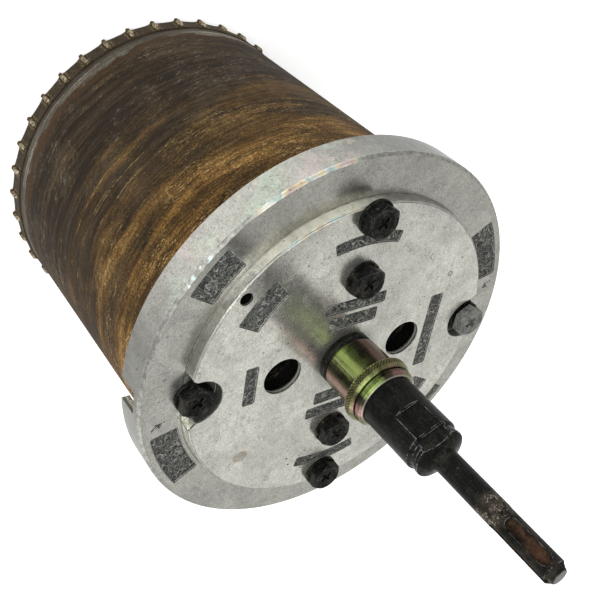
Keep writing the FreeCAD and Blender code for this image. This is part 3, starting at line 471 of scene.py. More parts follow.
def zinc_finish(look):
    """Satin zinc plating: mottling, pits, scratches, rainbow tints and dark cast pads."""
    coat = Coat("zinc_plating", look.zinc)
    up = coat.facing_up().rise(0.5, 0.9)
    cloud = coat.noise(0.035, 5, 0.62).spread()
    mottle = coat.noise(0.22, 5, 0.68, warp=0.6).spread()
    blots = coat.noise(0.55, 4, 0.7, warp=1.2).spread()
    grain = coat.noise(1.5, 3, 0.75).spread()
    coat.lay(cloud * 0.45, look.worn)
    coat.shade(mottle, 0.88, 1.07)
    coat.shade(blots, 0.88, 1.09)
    coat.shade(grain, 0.80, 1.14)
    # The annulus is turned and duller than the boss; painted shade darkens one side of the boss,
    # where x passes 35 mm
    coat.shade(coat.x.rise(35, 65) * up, 1.0, 0.84)
    on_annulus = coat.z.rise(ANNULUS_TOP + 1.0, ANNULUS_TOP + 0.6)
    coat.shade(on_annulus * up, 1.0, 0.69)
    smear = coat.noise(0.06, 6, 0.7, warp=2.5).rise(0.55, 0.72)
    coat.lay(smear * up * 0.30, look.stain)
    coat.lay(mottle.rise(0.72, 0.98) * cloud * 0.28, look.stain)

    # The walls are painted brightest on the side that faces the light: painted shade on the skirt
    # and the boss wall away from it, a painted highlight on the boss wall, and painted shade in the
    # corner at the wall's base
    front = towards_lit_side(coat)
    at_rim = coat.radius.rise(PLATE_RADIUS - 1.7, PLATE_RADIUS - 1.1)
    skirt = at_rim * coat.z.rise(ANNULUS_TOP - 0.8, ANNULUS_TOP - 1.2)
    coat.shade(skirt * (0.7 + mottle * 0.3), 1.0, 0.60)
    # Painted shade on the skirt away from the lit side
    coat.shade(skirt * (1 - front), 1.0, 0.40)
    wall = (coat.radius.within(BOSS_RADIUS - 0.2, BOSS_RADIUS + 0.2, 0.05)
            * coat.z.within(ANNULUS_TOP - 0.1, BOSS_TOP - 0.6, 0.05))
    # A painted highlight on the boss wall, over a range of azimuths toward the light
    rubbed = coat.sector(9, 33, 10) * wall
    # Painted shade on the boss wall at the azimuths turned from the light
    painted_shade_sides = coat.sector(-38, -8, 8)
    painted_shade_sides = painted_shade_sides.larger(coat.sector(57, 88, 8))
    coat.lay(rubbed * 0.80, look.wall_highlight)
    coat.shade(wall * painted_shade_sides, 1.0, 0.46)
    streaks = coat.grained(0.35, 0.10).spread()
    coat.shade(wall * streaks, 1.0, 0.84)
    # Painted shade in the corner at the base of the boss wall, deeper away from the lit side, laid
    # in the scratch colour
    painted_base_shade = (coat.radius.within(BOSS_RADIUS - 0.1, BOSS_RADIUS + 0.5, 0.3)
            * coat.z.rise(ANNULUS_TOP + 0.7, ANNULUS_TOP + 0.2))
    coat.lay(painted_base_shade * (0.25 + (1 - front) * 0.4), look.scratch)

    # Rainbow tints: broad on the skirt, only on its lit side, and in pieces along the chamfers,
    # where the rim chamfer gets a painted highlight
    upright = coat.grained(0.22, 0.03).spread()
    coat.shade(upright * skirt, 1.0, 0.90)
    wave = coat.grained(0.06, 0.05, 2, 0.5)
    coat.lay(skirt * wave.rise(0.52, 0.62) * front * blots * 0.5, look.green)
    coat.lay(skirt * wave.rise(0.45, 0.36) * (0.2 + blots * 0.6) * front * 0.5, look.pink)
    peach = coat.grained(0.12, 0.14).rise(0.62, 0.70)
    coat.lay(skirt * peach * blots * front * 0.8, look.peach)
    thread = coat.contours(coat.stretched(0.10, 0.045), 0.004)
    coat.lay(skirt * thread * mottle * 0.7, look.scratch)
    rim_chamfer = at_rim * coat.z.within(ANNULUS_TOP - 1.1, ANNULUS_TOP - 0.06, 0.04)
    boss_chamfer = (coat.z.within(BOSS_TOP - 0.62, BOSS_TOP - 0.05, 0.04)
                    * coat.radius.within(BOSS_RADIUS - 0.75, BOSS_RADIUS + 0.1, 0.05))
    coat.lay(rim_chamfer * 0.95, chamfer_tint(coat, look))
    coat.shade(boss_chamfer, 1.0, 0.60)
    chamfer = rim_chamfer.larger(boss_chamfer)

    # Pits in clusters, scratches in three directions, and one dried stain
    cluster = coat.noise(0.05, 4, 0.6).rise(0.42, 0.62)
    pits = coat.specks(0.20, 0.13, 0.35) * (0.35 + cluster * 0.65)
    fine_pits = coat.specks(0.55, 0.21, 0.24) * (0.2 + cluster * 0.8)
    marks = pits.larger(fine_pits * 0.8)
    lines = coat.scratches((0.05, 1.5, 1.0), 0.50)
    lines = lines.larger(coat.scratches((1.3, 0.07, 1.0), 0.52))
    lines = lines.larger(coat.scratches((0.20, 0.23, 0.2), 0.48))
    coat.lay(marks * 0.9, look.pad)
    coat.lay(lines * 0.6, look.scratch)
    away = ((coat.x - STAIN_X) ** 2 * 1.6 + (coat.y - STAIN_Y) ** 2) ** 0.5
    stain = (away + coat.noise(0.35, 4) * 3.0).rise(5.4, 4.6) * up
    coat.lay(stain * (0.35 + blots * 0.5), look.stain)
    from_nub = distance(coat.x - NUB_X, coat.y - NUB_Y)
    nub = from_nub.rise(1.1, 0.5) * up
    # A dark ring round the nub, a painted shadow of the raised nub
    coat.lay(from_nub.within(0.8, 1.3, 0.3) * up * 0.55, look.pad)

    # Darker round the base of the hub, and painted shade deep in the holes and in the pockets of
    # the side bolts
    by_hub = coat.radius.rise(HUB_COLLAR_RADIUS + 5, HUB_COLLAR_RADIUS) * up * 0.5
    coat.lay(by_hub * (0.4 + blots * 0.6), look.pad)
    hole_edge = distance(coat.x, coat.y.absolute() - EJECTION_HOLE_PLACE).rise(11.2, 10.6)
    deep = hole_edge * coat.z.rise(BOSS_TOP - 1.5, BOSS_TOP - 2.1)
    along = (coat.x * math.cos(DOWEL_ANGLE) + coat.y * math.sin(DOWEL_ANGLE)).absolute()
    across = coat.x * math.sin(DOWEL_ANGLE) - coat.y * math.cos(DOWEL_ANGLE)
    dowel = distance(along - DOWEL_RADIUS, across).rise(3.2, 2.9)
    deep = deep.larger(dowel * coat.z.rise(BOSS_TOP - 0.7, BOSS_TOP - 1.1))
    sideways = coat.y.absolute() - SIDE_BOLT_RADIUS
    pocket = (distance(coat.x, sideways).rise(10.7, 10.2) * sideways.rise(6, 1)
              * coat.z.rise(BOSS_TOP - 0.5, BOSS_TOP - 0.9))
    deep = deep.larger(pocket * 0.92)
    lip = hole_edge * coat.z.within(BOSS_TOP - 1.6, BOSS_TOP - 0.1, 0.1) * (1 - up)
    coat.lay(lip * 0.8, look.worn)
    # Painted shade deep in the holes, the dowel holes and the side bolts' pockets
    coat.lay(deep, look.deep)

    on_boss = coat.radius.rise(BOSS_RADIUS - 0.8, BOSS_RADIUS - 1.2)
    boss_pad = coat.z.within(BOSS_TOP - PAD_DEPTH - 0.1, BOSS_TOP - 0.10, 0.05) * on_boss
    rim_pad = (coat.z.within(ANNULUS_TOP - PAD_DEPTH - 0.1, ANNULUS_TOP - 0.10, 0.05)
               * coat.radius.rise(PLATE_RADIUS - 3.4, PLATE_RADIUS - 3.6))
    pad = boss_pad.larger(rim_pad) * (1 - deep)
    crust = coat.noise(0.9, 3, 0.7, warp=1.2).spread(0.13)
    # The winding strokes on the pads are raised by the bump and painted too: a light stroke as a
    # painted highlight and a dark line beside it as a painted shadow
    winding = coat.grained(0.20, 0.20, 1, 0.5, warp=1.2) - 0.5
    worm_relief_and_highlight = winding.absolute().rise(0.045, 0.015)
    groove = (winding - 0.062).absolute().rise(0.030, 0.010)
    pad_colour = coat.ramp(crust, [(0.0, look.deep), (0.35, look.pad), (1.0, look.pad_fleck)])
    pad_colour = coat.mix(groove * 0.75, pad_colour, look.deep)
    pad_colour = coat.mix(worm_relief_and_highlight * (0.15 + crust * 0.40), pad_colour, look.worn)
    pad_colour = coat.tint(pad_colour, grain, 0.55, 1.35)
    coat.lay(pad, pad_colour)

    rings = coat.noise(1.3, 3, 0.7, place=coat.joined(coat.radius, 0.0, 0.0)).spread()
    roughness = (look.roughness + (cloud - 0.5) * 0.02 + (mottle - 0.5) * 0.02
                 + marks * 0.3 + smear * 0.02 + chamfer * 0.22 + skirt * 0.14 + wall * 0.20)
    roughness = roughness * (1 - pad) + pad * 0.6
    height = (grain * 0.005 + mottle * 0.005 + rings * up * 0.008 - marks * 0.5
              - lines * 0.10 + nub * 2.0 + pad * (crust * 0.9 + worm_relief_and_highlight * 2.4))
    normal = coat.bump(height, 0.13, 0.6)
    metallic = 0.92 - pad * 0.55 - deep * 0.92 - lip * (1 - deep) * 0.6 - rubbed * 0.55
    return coat.done(roughness, metallic, normal, Anisotropic=look.brushed,
                     Anisotropic_Rotation=0.25)


def zinc_edge_finish(look):
    """Worn, dull plating on the broken edges of the casting, with the chamfers' painted highlight.
    """
    coat = Coat("zinc_edges")
    cloud = coat.noise(0.30, 4, 0.7).spread()
    coat.base = chamfer_tint(coat, look)
    coat.shade(cloud, 0.75, 1.25)
    return coat.done(0.38 + cloud * 0.12, 0.9, coat.bump(cloud, 0.04, 0.5))


def rust_finish(look):
    """Rusty tube: gritty wavy bands, golden scuffs, pale ticks, and a rubbed band near the rim."""
    coat = Coat("rusty_tube")
    share_up = (coat.z - tube_low.z) / (tube_high.z - tube_low.z)
    sway = coat.noise(0.012, 3, 0.5) * 9.0 + coat.noise(0.05, 3, 0.5) * 2.2 + coat.y * 0.045
    flow = coat.joined(coat.x, coat.y, coat.z + sway)

    def streaky(across, up, detail, span):
        return coat.grained(across, up, detail, 0.65, flow).spread(span)

    bands = streaky(0.010, 0.070, 3, 0.15)
    broad = streaky(0.026, 0.30, 4, 0.15)
    streaks = streaky(0.060, 0.85, 3, 0.17)
    fine = streaky(0.28, 1.70, 3, 0.16)
    grit = coat.grained(1.1, 1.5, 2, 0.75).spread(0.14)
    blotch = coat.noise(0.045, 5, 0.65).spread()
    patch = coat.grained(0.030, 0.085, place=flow).spread(0.14)

    warm = (share_up ** 1.25 * 0.72 + (bands - 0.5) * 0.34 + (blotch - 0.5) * 0.24
            + (patch - 0.5) * 0.16 + 0.08)
    coat.base = coat.ramp(warm, [(0.10, look.olive), (0.38, look.brown), (0.66, look.orange),
                                 (0.96, look.bright)])
    coat.shade(broad, 0.62, 1.34)
    coat.shade(streaks, 0.74, 1.26)
    coat.shade(fine, 0.80, 1.22)
    crack = coat.contours(coat.stretched(0.009, 0.10, flow), 0.006, 2) * streaks.rise(0.1, 0.5)
    coat.lay(crack * 0.85, look.dark)

    # Golden strokes lie in a few scuffed patches, mostly near the plate, with a few long lines
    scuffed = patch.rise(0.62, 0.95) * (0.10 + share_up.rise(0.35, 0.9) * 0.90)
    stroke = coat.grained(0.34, 1.8, place=flow).rise(0.53, 0.66)
    golden = stroke * scuffed * (0.30 + grit * 0.60)
    fleck = coat.grained(0.75, 2.1, 1, place=flow).rise(0.64, 0.71)
    golden = golden.larger(fleck * share_up.rise(0.40, 0.95) * (0.20 + patch * 0.60))
    line = coat.grained(0.004, 0.62, 2, place=flow).rise(0.66, 0.70)
    line = line * blotch.rise(0.25, 0.75) * grit.rise(0.0, 0.7)
    golden = golden.larger(line * (0.12 + fine * 0.50))
    coat.lay(golden, look.gold)
    dull = blotch.rise(0.60, 0.95) * share_up.rise(0.95, 0.45)
    coat.lay(dull * 0.12, look.grey)

    # Pale ticks slant across the lower third; the rubbed band lies just above the crown
    slant = coat.joined(coat.x * 0.30, coat.y * 0.30,
                        (coat.z + (coat.x - coat.y) * 0.35) * 2.4)
    tick = coat.noise(1.0, 2, 0.5, place=slant).rise(0.63, 0.69)
    tick = tick * coat.z.within(20, 64, 14) * blotch.rise(0.30, 0.60)
    coat.lay(tick * 0.36, look.tick)
    edge = coat.z + (streaks - 0.5) * 2.2 + (blotch - 0.5) * 4.0
    along = coat.grained(0.014, 0.0, 2, 0.5).rise(0.36, 0.60)
    coat.lay(edge.within(15.5, 20.5, 2.0) * 0.45, look.red)
    rubbed = edge.rise(17.2, 15.0)
    coat.lay(rubbed * (0.35 + along * 0.5) * (0.4 + fine * 0.6), look.grey)
    hair = coat.grained(0.030, 2.6, 2).spread(0.13)
    bright = edge.within(11.2, 15.0, 1.0) * hair.rise(0.50, 1.0) * (0.05 + along * 0.85)
    coat.lay(bright * (0.35 + grit * 0.60), look.tick)
    coat.lay(coat.z.rise(12.5, 10.0) * 0.55, look.olive)
    seam = coat.z.rise(crown_high.z + 0.8, crown_high.z + 0.1)
    coat.lay(seam * 0.15, look.dark)
    swing = 0.5 + (grit - 0.5) * (0.45 + share_up * 0.55)
    coat.shade(swing, 0.48, 1.52)

    roughness = 0.72 - rubbed * 0.20 - golden * 0.12 + (grit - 0.5) * 0.16
    metallic = rubbed * 0.25 + golden * 0.12
    height = (streaks * 0.7 + fine * 0.4 + broad * 0.9 + grit * 0.8 + golden * 0.4
              - crack * 1.4 + tick * 0.2)
    normal = coat.bump(height, 0.22, 0.85)
    return coat.done(roughness, metallic, normal, Specular_IOR_Level=look.shine)


def crown_finish(look):
    """Sintered bronze: each tooth is a tan rib with a dark head and dark flanks."""
    coat = Coat("sintered_crown", look.bronze)
    grit = coat.noise(1.0, 3, 0.75).spread()
    blotch = coat.noise(0.15, 4).spread()
    step = 2 * math.pi / TOOTH_COUNT
    steps = (coat.angle + (2 * math.pi - TOOTH_START)) / step
    turn = steps.maths("FRACT", steps)
    from_tooth = (0.5 - (turn - 0.5).absolute()) * (step * crown_high.x)
    outer = crown_high.x - TOOTH_PROUD
    outside = coat.radius.rise(outer - 0.3, outer)
    inner_ridge = coat.radius.rise(outer - 3.6, outer - 4.0)
    crest = from_tooth.rise(1.35, 0.95) * coat.radius.rise(outer + 0.25, outer + 0.7)
    mound = from_tooth.rise(3.6, 1.6) * outside * coat.z.rise(8.4, 6.0)
    coat.lay(blotch * 0.6, look.olive)
    coat.lay(mound * (0.10 + grit * 0.45), look.crest)
    side = from_tooth.within(1.15, 1.7, 0.2) * outside
    coat.lay(side * 0.60, look.dark)
    coat.lay(crest * (0.45 + grit * 0.55), look.crest)
    coat.lay(inner_ridge * 0.5, look.crest)
    # A pale mark high on each rib is a painted glint where its end catches the light
    spot = crest * coat.z.within(4.2, 6.6, 0.4)
    coat.lay(spot * grit.rise(0.3, 0.8) * 0.55, look.tick)
    head = crest * coat.z.within(0.9, 2.3, 0.25)
    coat.lay(head * 0.8, look.dark)
    coat.shade(grit, 0.40, 1.65)
    coat.lay(crest * coat.z.rise(0.7, 0.3) * 0.6, look.tick)
    joint = coat.z.within(crown_high.z - 0.5, crown_high.z + 0.2, 0.3)
    coat.lay(joint * 0.25, look.dark)
    normal = coat.bump(grit + blotch * 0.5, 0.22, 0.9)
    return coat.done(0.62 + (grit - 0.5) * 0.2, 0.10 + crest * 0.25, normal,
                     Specular_IOR_Level=look.shine)


def oxide_finish(name, look, dusty=0.2, worn_to=None):
    """Satin black oxide, with brown dust in the hollows and small bright rubs."""
    coat = Coat(name, worn_to or look.oxide)
    grain = coat.noise(1.4, 3, 0.7).spread()
    cloud = coat.noise(0.25, 4, 0.65).spread()
    up = coat.facing_up().rise(0.2, 0.9)
    coat.shade(cloud, 0.6, 1.5)
    coat.shade(grain, 0.65, 1.4)
    dust = (cloud * 0.6 + grain * 0.4).rise(0.55, 0.85) * (0.35 + up * 0.65) * dusty
    coat.lay(dust, look.dusty)
    rub = coat.noise(0.6, 3, 0.6, warp=1.0).rise(0.64, 0.74)
    coat.lay(rub * 0.10, look.bare)
    roughness = 0.30 + (grain - 0.5) * 0.16 + dust * 0.35
    normal = coat.bump(grain, 0.05, 0.6)
    return coat.done(roughness, 0.0, normal, Specular_IOR_Level=look.shine)


def rubbed_finish(name, look, amount):
    """Edges where the oxide is rubbed through in places."""
    coat = Coat(name, look.oxide)
    cloud = coat.noise(0.35, 4, 0.7).spread()
    grain = coat.noise(1.6, 2, 0.6).spread()
    rub = (cloud * 0.7 + grain * 0.3).rise(0.30, 0.85) * amount
    coat.lay(rub, look.bare)
    return coat.done(0.40 + (grain - 0.5) * 0.1, rub * 0.4,
                     coat.bump(grain, 0.03, 0.5), Specular_IOR_Level=look.shine)


def arbor_finish(look):
    """Black oxide on the arbor, with cement specks, rust in its grooves and a greyer tip."""
    coat = Coat("arbor_oxide", look.oxide)
    grain = coat.noise(1.3, 3, 0.7).spread()
    cloud = coat.noise(0.20, 4, 0.65).spread()
    rings = coat.grained(0.08, 2.4).spread()
    streak = coat.grained(0.9, 0.05).spread()
    coat.shade(cloud, 0.6, 1.6)
    coat.shade(streak, 0.75, 1.3)
    coat.shade(grain, 0.5, 1.7)
    end_top = arbor_high.z
    head_top = end_top - HEAD_DEPTH
    lower = coat.z.within(end_top - 33, end_top - 2, 5.0)
    coat.lay(lower * cloud * 0.14, look.dusty)
    fleck = coat.noise(1.1, 3, 0.7, warp=0.8).rise(0.66, 0.74)
    coat.lay(fleck * coat.z.rise(head_top, head_top + 6) * 0.20, look.bare)
    cement_zone = coat.z.within(end_top - CEMENT_LOW, end_top - CEMENT_HIGH, 3.5)
    speck = coat.noise(1.5, 3, 0.75, warp=0.5).rise(0.54, 0.64)
    crust = coat.noise(0.25, 3, 0.6).rise(0.40, 0.56)
    cement = speck * crust * cement_zone
    coat.lay(cement * 0.75, look.cement)
    coat.lay(crust * cement_zone * (1 - speck) * 0.25, look.dusty)
    in_groove = coat.z.within(end_top - GROOVE_LOW, end_top - GROOVE_HIGH, 1.0)
    groove = coat.radius.rise(4.75, 4.2) * in_groove
    dark_blots = coat.noise(0.6, 4, 0.7, warp=0.8).spread()
    rust = coat.mix(grain * 0.35, look.rust, look.dusty)
    coat.lay(groove * (0.15 + cloud * 0.75), rust)
    coat.shade(groove * dark_blots, 1.0, 0.45)
    end_face = coat.z.rise(end_top - 0.25, end_top - 0.05)
    coat.lay(end_face * (0.22 + grain * 0.20), look.bare)
    dust = coat.z.within(head_top - 3, head_top + 3, 1.5) * cloud.rise(0.5, 0.9)
    coat.lay(dust * 0.10, look.dusty)
    roughness = 0.36 + (grain - 0.5) * 0.16 + cement * 0.4 + groove * 0.3
    normal = coat.bump(grain * 0.5 + rings * 0.3 + cement * 1.5, 0.05, 0.6)
    return coat.done(roughness, end_face * 0.5, normal, Specular_IOR_Level=look.shine)


def chromate_finish(look):
    """Yellow chromate in lengthwise bands laid by azimuth round the side toward the camera, a
    painted reflection tint: green, then a dark band and pink to both sides.
    """
    coat = Coat("yellow_chromate")
    # The bands are centred on the camera's side, so they paint a reflection tint
    facing = math.radians(42)
    turn = (coat.angle - facing).cosine().absolute()
    cloud = coat.noise(0.30, 4, 0.6).spread()
    rings = coat.grained(0.05, 2.2).spread()
    lanes = coat.grained(0.55, 0.03).spread()
    value = turn + (cloud - 0.5) * 0.05 + (lanes - 0.5) * 0.05
    coat.base = coat.ramp(value, [
        (0.0, look.yellow), (0.30, look.yellow), (0.45, look.pink), (0.70, look.pink),
        (0.80, look.dark), (0.92, look.dark), (0.965, look.green), (1.0, look.green)])
    height = coat.z - sleeve_low.z
    on_knurl = height.within(BARREL_TOP, SHOULDER_TOP - 0.5, 0.3)
    coat.lay(on_knurl * 0.75, look.yellow)
    # Painted shade in the recesses of the knurl
    cut = coat.radius.rise(sleeve_high.x - 0.06, sleeve_high.x - 0.30)
    cut = cut * height.within(KNURL_LOW + 0.1, KNURL_HIGH - 0.1, 0.1)
    coat.lay(cut * 0.7, look.dark)
    coat.lay(cloud * height.rise(17.0, 15.0) * 0.3, look.yellow)
    coat.shade(rings, 0.82, 1.16)
    coat.shade(lanes, 0.72, 1.28)
    wear = coat.noise(0.9, 4, 0.7).rise(0.62, 0.72)
    coat.lay(wear * 0.30, look.bare)
    # The lip's top edge is made paler: partly worn steel, partly a painted highlight
    lip = height.rise(LIP_TOP - 0.5, LIP_TOP - 0.2)
    coat.lay(lip * 0.55, look.bare)
    scuff = coat.angle.within(math.radians(55.2), math.radians(56.4), 0.01)
    scuff = scuff * height.within(1.5, 16.5, 0.5)
    coat.lay(scuff * 0.35, look.bare)
    # Painted shade in the groove above the shoulder
    hollow = height.within(SHOULDER_TOP, GROOVE_TOP, 0.1)
    coat.lay(hollow * 0.6, look.dark)
    roughness = 0.30 + (cloud - 0.5) * 0.08 + (rings - 0.5) * 0.08 + wear * 0.15
    normal = coat.bump(rings, 0.02, 0.5)
    return coat.done(roughness, 0.95, normal)


def steel_finish(name, tone, roughness, dirt=0.3):
    """Bare steel of the hidden pieces, oiled and a little dusty."""
    coat = Coat(name, tone)
    grain = coat.noise(1.4, 3, 0.6)
    cloud = coat.noise(0.18, 4, 0.6)
    coat.shade(cloud, 0.75, 1.2)
    coat.lay(cloud.rise(0.52, 0.72) * dirt, (0.10, 0.065, 0.035))
    normal = coat.bump(grain, 0.03, 0.5)
    return coat.done(roughness + (grain - 0.5) * 0.15, 0.9, normal)


def give(piece, *materials):
    """Puts a finish on a piece, and a second one on its edges; the faces keep their slots."""
    slots = piece.data.materials
    while len(slots) < len(materials):
        slots.append(None)
    for number, material in enumerate(materials):
        slots[number] = material
    return piece


def dress_node(node, material):
    """A finish on a CAD node that stays as it is."""
    piece = frame["nodes"][node]
    if not piece.data.materials:
        piece.data.materials.append(material)
    for number in range(len(piece.data.materials)):
        piece.data.materials[number] = material


def slot_of(node):
    """The record's material slot of a node."""
    return next(row["material_slot"] for row in frame["record"]["subparts"] if row["node"] == node)


def body_with(node):
    """The body that a node rides on."""
    bodies = frame["record"]["behaviour"]["bodies"]
    return next(body for body, members in bodies.items() if node in members)


def stand_in(piece, node, *materials):
    """Lets a finer piece take a CAD node's place and body."""
    give(piece, *materials)
    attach(piece, body_with(node))
    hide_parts(node)
    return piece


def springy(node, name, material):
    """A copy of a CAD spring, with a finish, that takes the node's place."""
    mesh = frame["nodes"][node].data.copy()
    mesh.name = name
    piece = give(object_from(mesh, name), material)
    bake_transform(piece)
    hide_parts(node)
    return piece


def object_from(data, name):
    """A new object in the scene that holds a mesh, a light or a camera."""
    made = bpy.data.objects.new(name, data)
    bpy.context.scene.collection.objects.link(made)
    return made


def broken_edges(node, width, name, material, edge_material, angle=28.0):
    """A copy of a CAD node with its sharp edges broken, which takes the node's place."""
    mesh = frame["nodes"][node].data.copy()
    mesh.name = name
    mesh.materials.clear()
    mesh.materials.append(material)
    mesh.materials.append(edge_material)
    if mesh.has_custom_normals:
        mesh.attributes.remove(mesh.attributes["custom_normal"])
    shape = bmesh.new()
    shape.from_mesh(mesh)
    bmesh.ops.remove_doubles(shape, verts=shape.verts, dist=0.002 * MM)
    bmesh.ops.dissolve_limit(shape, angle_limit=math.radians(0.6), verts=shape.verts,
                             edges=shape.edges)
    bmesh.ops.recalc_face_normals(shape, faces=shape.faces)
    shape.to_mesh(mesh)
    shape.free()
    piece = object_from(mesh, name)
    bevel = piece.modifiers.new("edges", "BEVEL")
    bevel.width = width
    bevel.segments = 2
    bevel.limit_method = "ANGLE"
    bevel.angle_limit = math.radians(angle)
    bevel.use_clamp_overlap = False
    bevel.harden_normals = True
    bevel.material = 1
    mesh.shade_smooth()
    bpy.context.view_layer.update()
    graph = bpy.context.evaluated_depsgraph_get()
    finished = bpy.data.meshes.new_from_object(piece.evaluated_get(graph))
    piece.modifiers.clear()
    piece.data = finished
    return stand_in(piece, node, material, edge_material)


def eased(profile, radius):
    """A closed profile of (radius, height) points with its corners rounded a little."""
    points = []
    for number, corner in enumerate(profile):
        here = Vector(corner)
        ends = []
        for other in (profile[number - 1], profile[(number + 1) % len(profile)]):
            way = Vector(other) - here
            ends.append(here + way.normalized() * min(radius, way.length * 0.3))
        middle = (ends[0] + ends[1]) / 4 + here / 2
        points += [ends[0], middle, ends[1]]
    return points


def turned_piece(profile, columns, name, relief):
    """A mesh turned from a closed profile in millimetres; relief is a cut by angle and height."""
    shape = bmesh.new()
    rows = []
    for column in range(columns):
        angle = 2 * math.pi * column / columns
        row = []
        for radius, height in profile:
            radius -= relief(angle, height, radius)
            place = Vector((radius * math.cos(angle), radius * math.sin(angle), height))
            row.append(shape.verts.new(place * MM))
        rows.append(row)
    for column in range(columns):
        here = rows[column]
        after = rows[(column + 1) % columns]
        for number in range(len(profile)):
            following = (number + 1) % len(profile)
            shape.faces.new((here[number], after[number], after[following], here[following]))
    bmesh.ops.recalc_face_normals(shape, faces=shape.faces)
    mesh = bpy.data.meshes.new(name)
    shape.to_mesh(mesh)
    shape.free()
    mesh.shade_smooth()
    mesh.set_sharp_from_angle(angle=math.radians(24))
    return object_from(mesh, name)


class DressPlate(Operator):
    """Zinc plating and broken edges of the adapter plate"""
    bl_idname = "core_bit.dress_plate"
    bl_label = "Adapter plate"

    def execute(self, context):
        look = context.scene.core_bit_plate
        broken_edges("adapter_plate", look.edge, "adapter_plate_plated", zinc_finish(look),
                     zinc_edge_finish(look))
        return {"FINISHED"}


class DressTube(Operator):
    """Rust on the core tube and bronze on its crown"""
    bl_idname = "core_bit.dress_tube"
    bl_label = "Tube and crown"

    def execute(self, context):
        look = context.scene.core_bit_tube
        dress_node("core_tube", rust_finish(look))
        black_look = context.scene.core_bit_black
        dress_node("tube_end_plate", oxide_finish("end_plate_oxide", black_look, dusty=0.5))
        crown = crown_finish(look)
        broken_edges("cutting_crown", look.edge, "cutting_crown_worn", crown, crown)
        return {"FINISHED"}


class DressBolts(Operator):
    """Black oxide on the bolts and their washers"""
    bl_idname = "core_bit.dress_bolts"
    bl_label = "Bolts and washers"

    def execute(self, context):
        look = context.scene.core_bit_black
        black = oxide_finish("black_oxide", look)
        brown = oxide_finish("brown_oxide", look, dusty=0.9)
        worn = oxide_finish("worn_oxide", look, dusty=0.4, worn_to=look.worn)
        finishes = {"brown_washer": brown, "worn_bolt": worn}
        rubbed = rubbed_finish("rubbed_bolt_edges", look, 0.07)
        for node in sorted(frame["nodes"]):
            if not node.startswith("hub") and ("bolt" in node or "washer" in node):
                material = finishes.get(slot_of(node), black)
                edges = rubbed if material is black else material
                broken_edges(node, look.edge, f"{node}_finished", material, edges)
        return {"FINISHED"}


class DressHub(Operator):
    """Finishes of the hub, its nut and washer, and what is inside the sleeve"""
    bl_idname = "core_bit.dress_hub"
    bl_label = "Hub and its inner parts"

    def execute(self, context):
        look = context.scene.core_bit_black
        black = oxide_finish("hub_oxide", look, dusty=0.2)
        bright = steel_finish("bright_steel", (0.56, 0.56, 0.55), 0.28)
        spring = steel_finish("spring_steel", (0.22, 0.22, 0.23), 0.35)
        rubbed = rubbed_finish("rubbed_hub_edges", look, 0.08)
        broken_edges("hub", look.edge, "hub_finished", black, rubbed)
        broken_edges("hub_nut", look.edge, "hub_nut_finished", black, rubbed)
        dress_node("set_screw", black)
        for node in ("hub_washer", "lock_ball_1", "lock_ball_2", "lock_ball_3"):
            dress_node(node, bright)
        dress_node("snap_ring", spring)
        springy("sleeve_spring", "sleeve_spring_coil", spring)
        return {"FINISHED"}


class DressSleeve(Operator):
    """Lock sleeve with a real diamond knurl and yellow chromate"""
    bl_idname = "core_bit.dress_sleeve"
    bl_label = "Lock sleeve"

    def execute(self, context):
        look = context.scene.core_bit_chromate
        knurl_radius = sleeve_high.x
        barrel = knurl_radius - 2.4
        bore = barrel - 2.45
        cup = barrel - 0.95
        outline = [
            (bore, 0.0), (barrel - 1.0, 0.0), (barrel - 1.0, 0.4), (barrel, 1.4),
            (barrel, BARREL_TOP), (knurl_radius - 0.5, BARREL_TOP), (knurl_radius, KNURL_LOW),
            (knurl_radius, KNURL_HIGH), (barrel + 1.3, SHOULDER_TOP), (barrel + 0.5, SHOULDER_TOP),
            (barrel + 0.5, GROOVE_TOP), (barrel + 1.0, GROOVE_TOP), (barrel + 1.0, BAND_TOP),
            (cup + 0.6, LIP_TOP), (cup, LIP_TOP), (cup, 11.2), (bore, 11.2), (bore, 6.9),
            (bore + 1.25, 6.9), (bore + 1.25, 2.4), (bore, 2.4),
        ]
        bottom = sleeve_low.z
        profile = []
        grip_low = bottom + KNURL_LOW
        grip_high = bottom + KNURL_HIGH
        for radius, height in eased(outline, 0.12):
            if abs(radius - knurl_radius) < 1e-6 and height > (KNURL_LOW + KNURL_HIGH) / 2:
                low = profile[-1][1]
                step = (bottom + height - low) / KNURL_ROWS
                profile += [(knurl_radius, low + step * row) for row in range(1, KNURL_ROWS)]
            profile.append((radius, bottom + height))
        pitch = 2 * math.pi * knurl_radius / look.knurl_count

        def knurl(angle, height, radius):
            if not grip_low + 0.02 < height < grip_high - 0.02 or radius < knurl_radius - 0.01:
                return 0.0
            round_it = angle / (2 * math.pi) * look.knurl_count
            up_it = (height - grip_low) / pitch
            slopes = [abs((round_it + way * up_it) % 1.0 - 0.5) * 2 for way in (1, -1)]
            fade = min(1.0, (height - grip_low) / 0.25, (grip_high - height) / 0.25)
            return look.knurl_depth / MM * fade * (1.0 - min(1.0, 1.6 * min(slopes)))

        columns = look.knurl_count * COLUMNS_PER_DIAMOND
        sleeve = turned_piece(profile, columns, "lock_sleeve_knurled", knurl)
        stand_in(sleeve, "lock_sleeve", chromate_finish(look))
        return {"FINISHED"}


class DressArbor(Operator):
    """Worn black oxide on the arbor"""
    bl_idname = "core_bit.dress_arbor"
    bl_label = "Arbor"

    def execute(self, context):
        look = context.scene.core_bit_black
        rubbed = rubbed_finish("rubbed_arbor_edges", look, 0.24)
        broken_edges("arbor", look.arbor_edge, "arbor_finished", arbor_finish(look), rubbed)
        return {"FINISHED"}


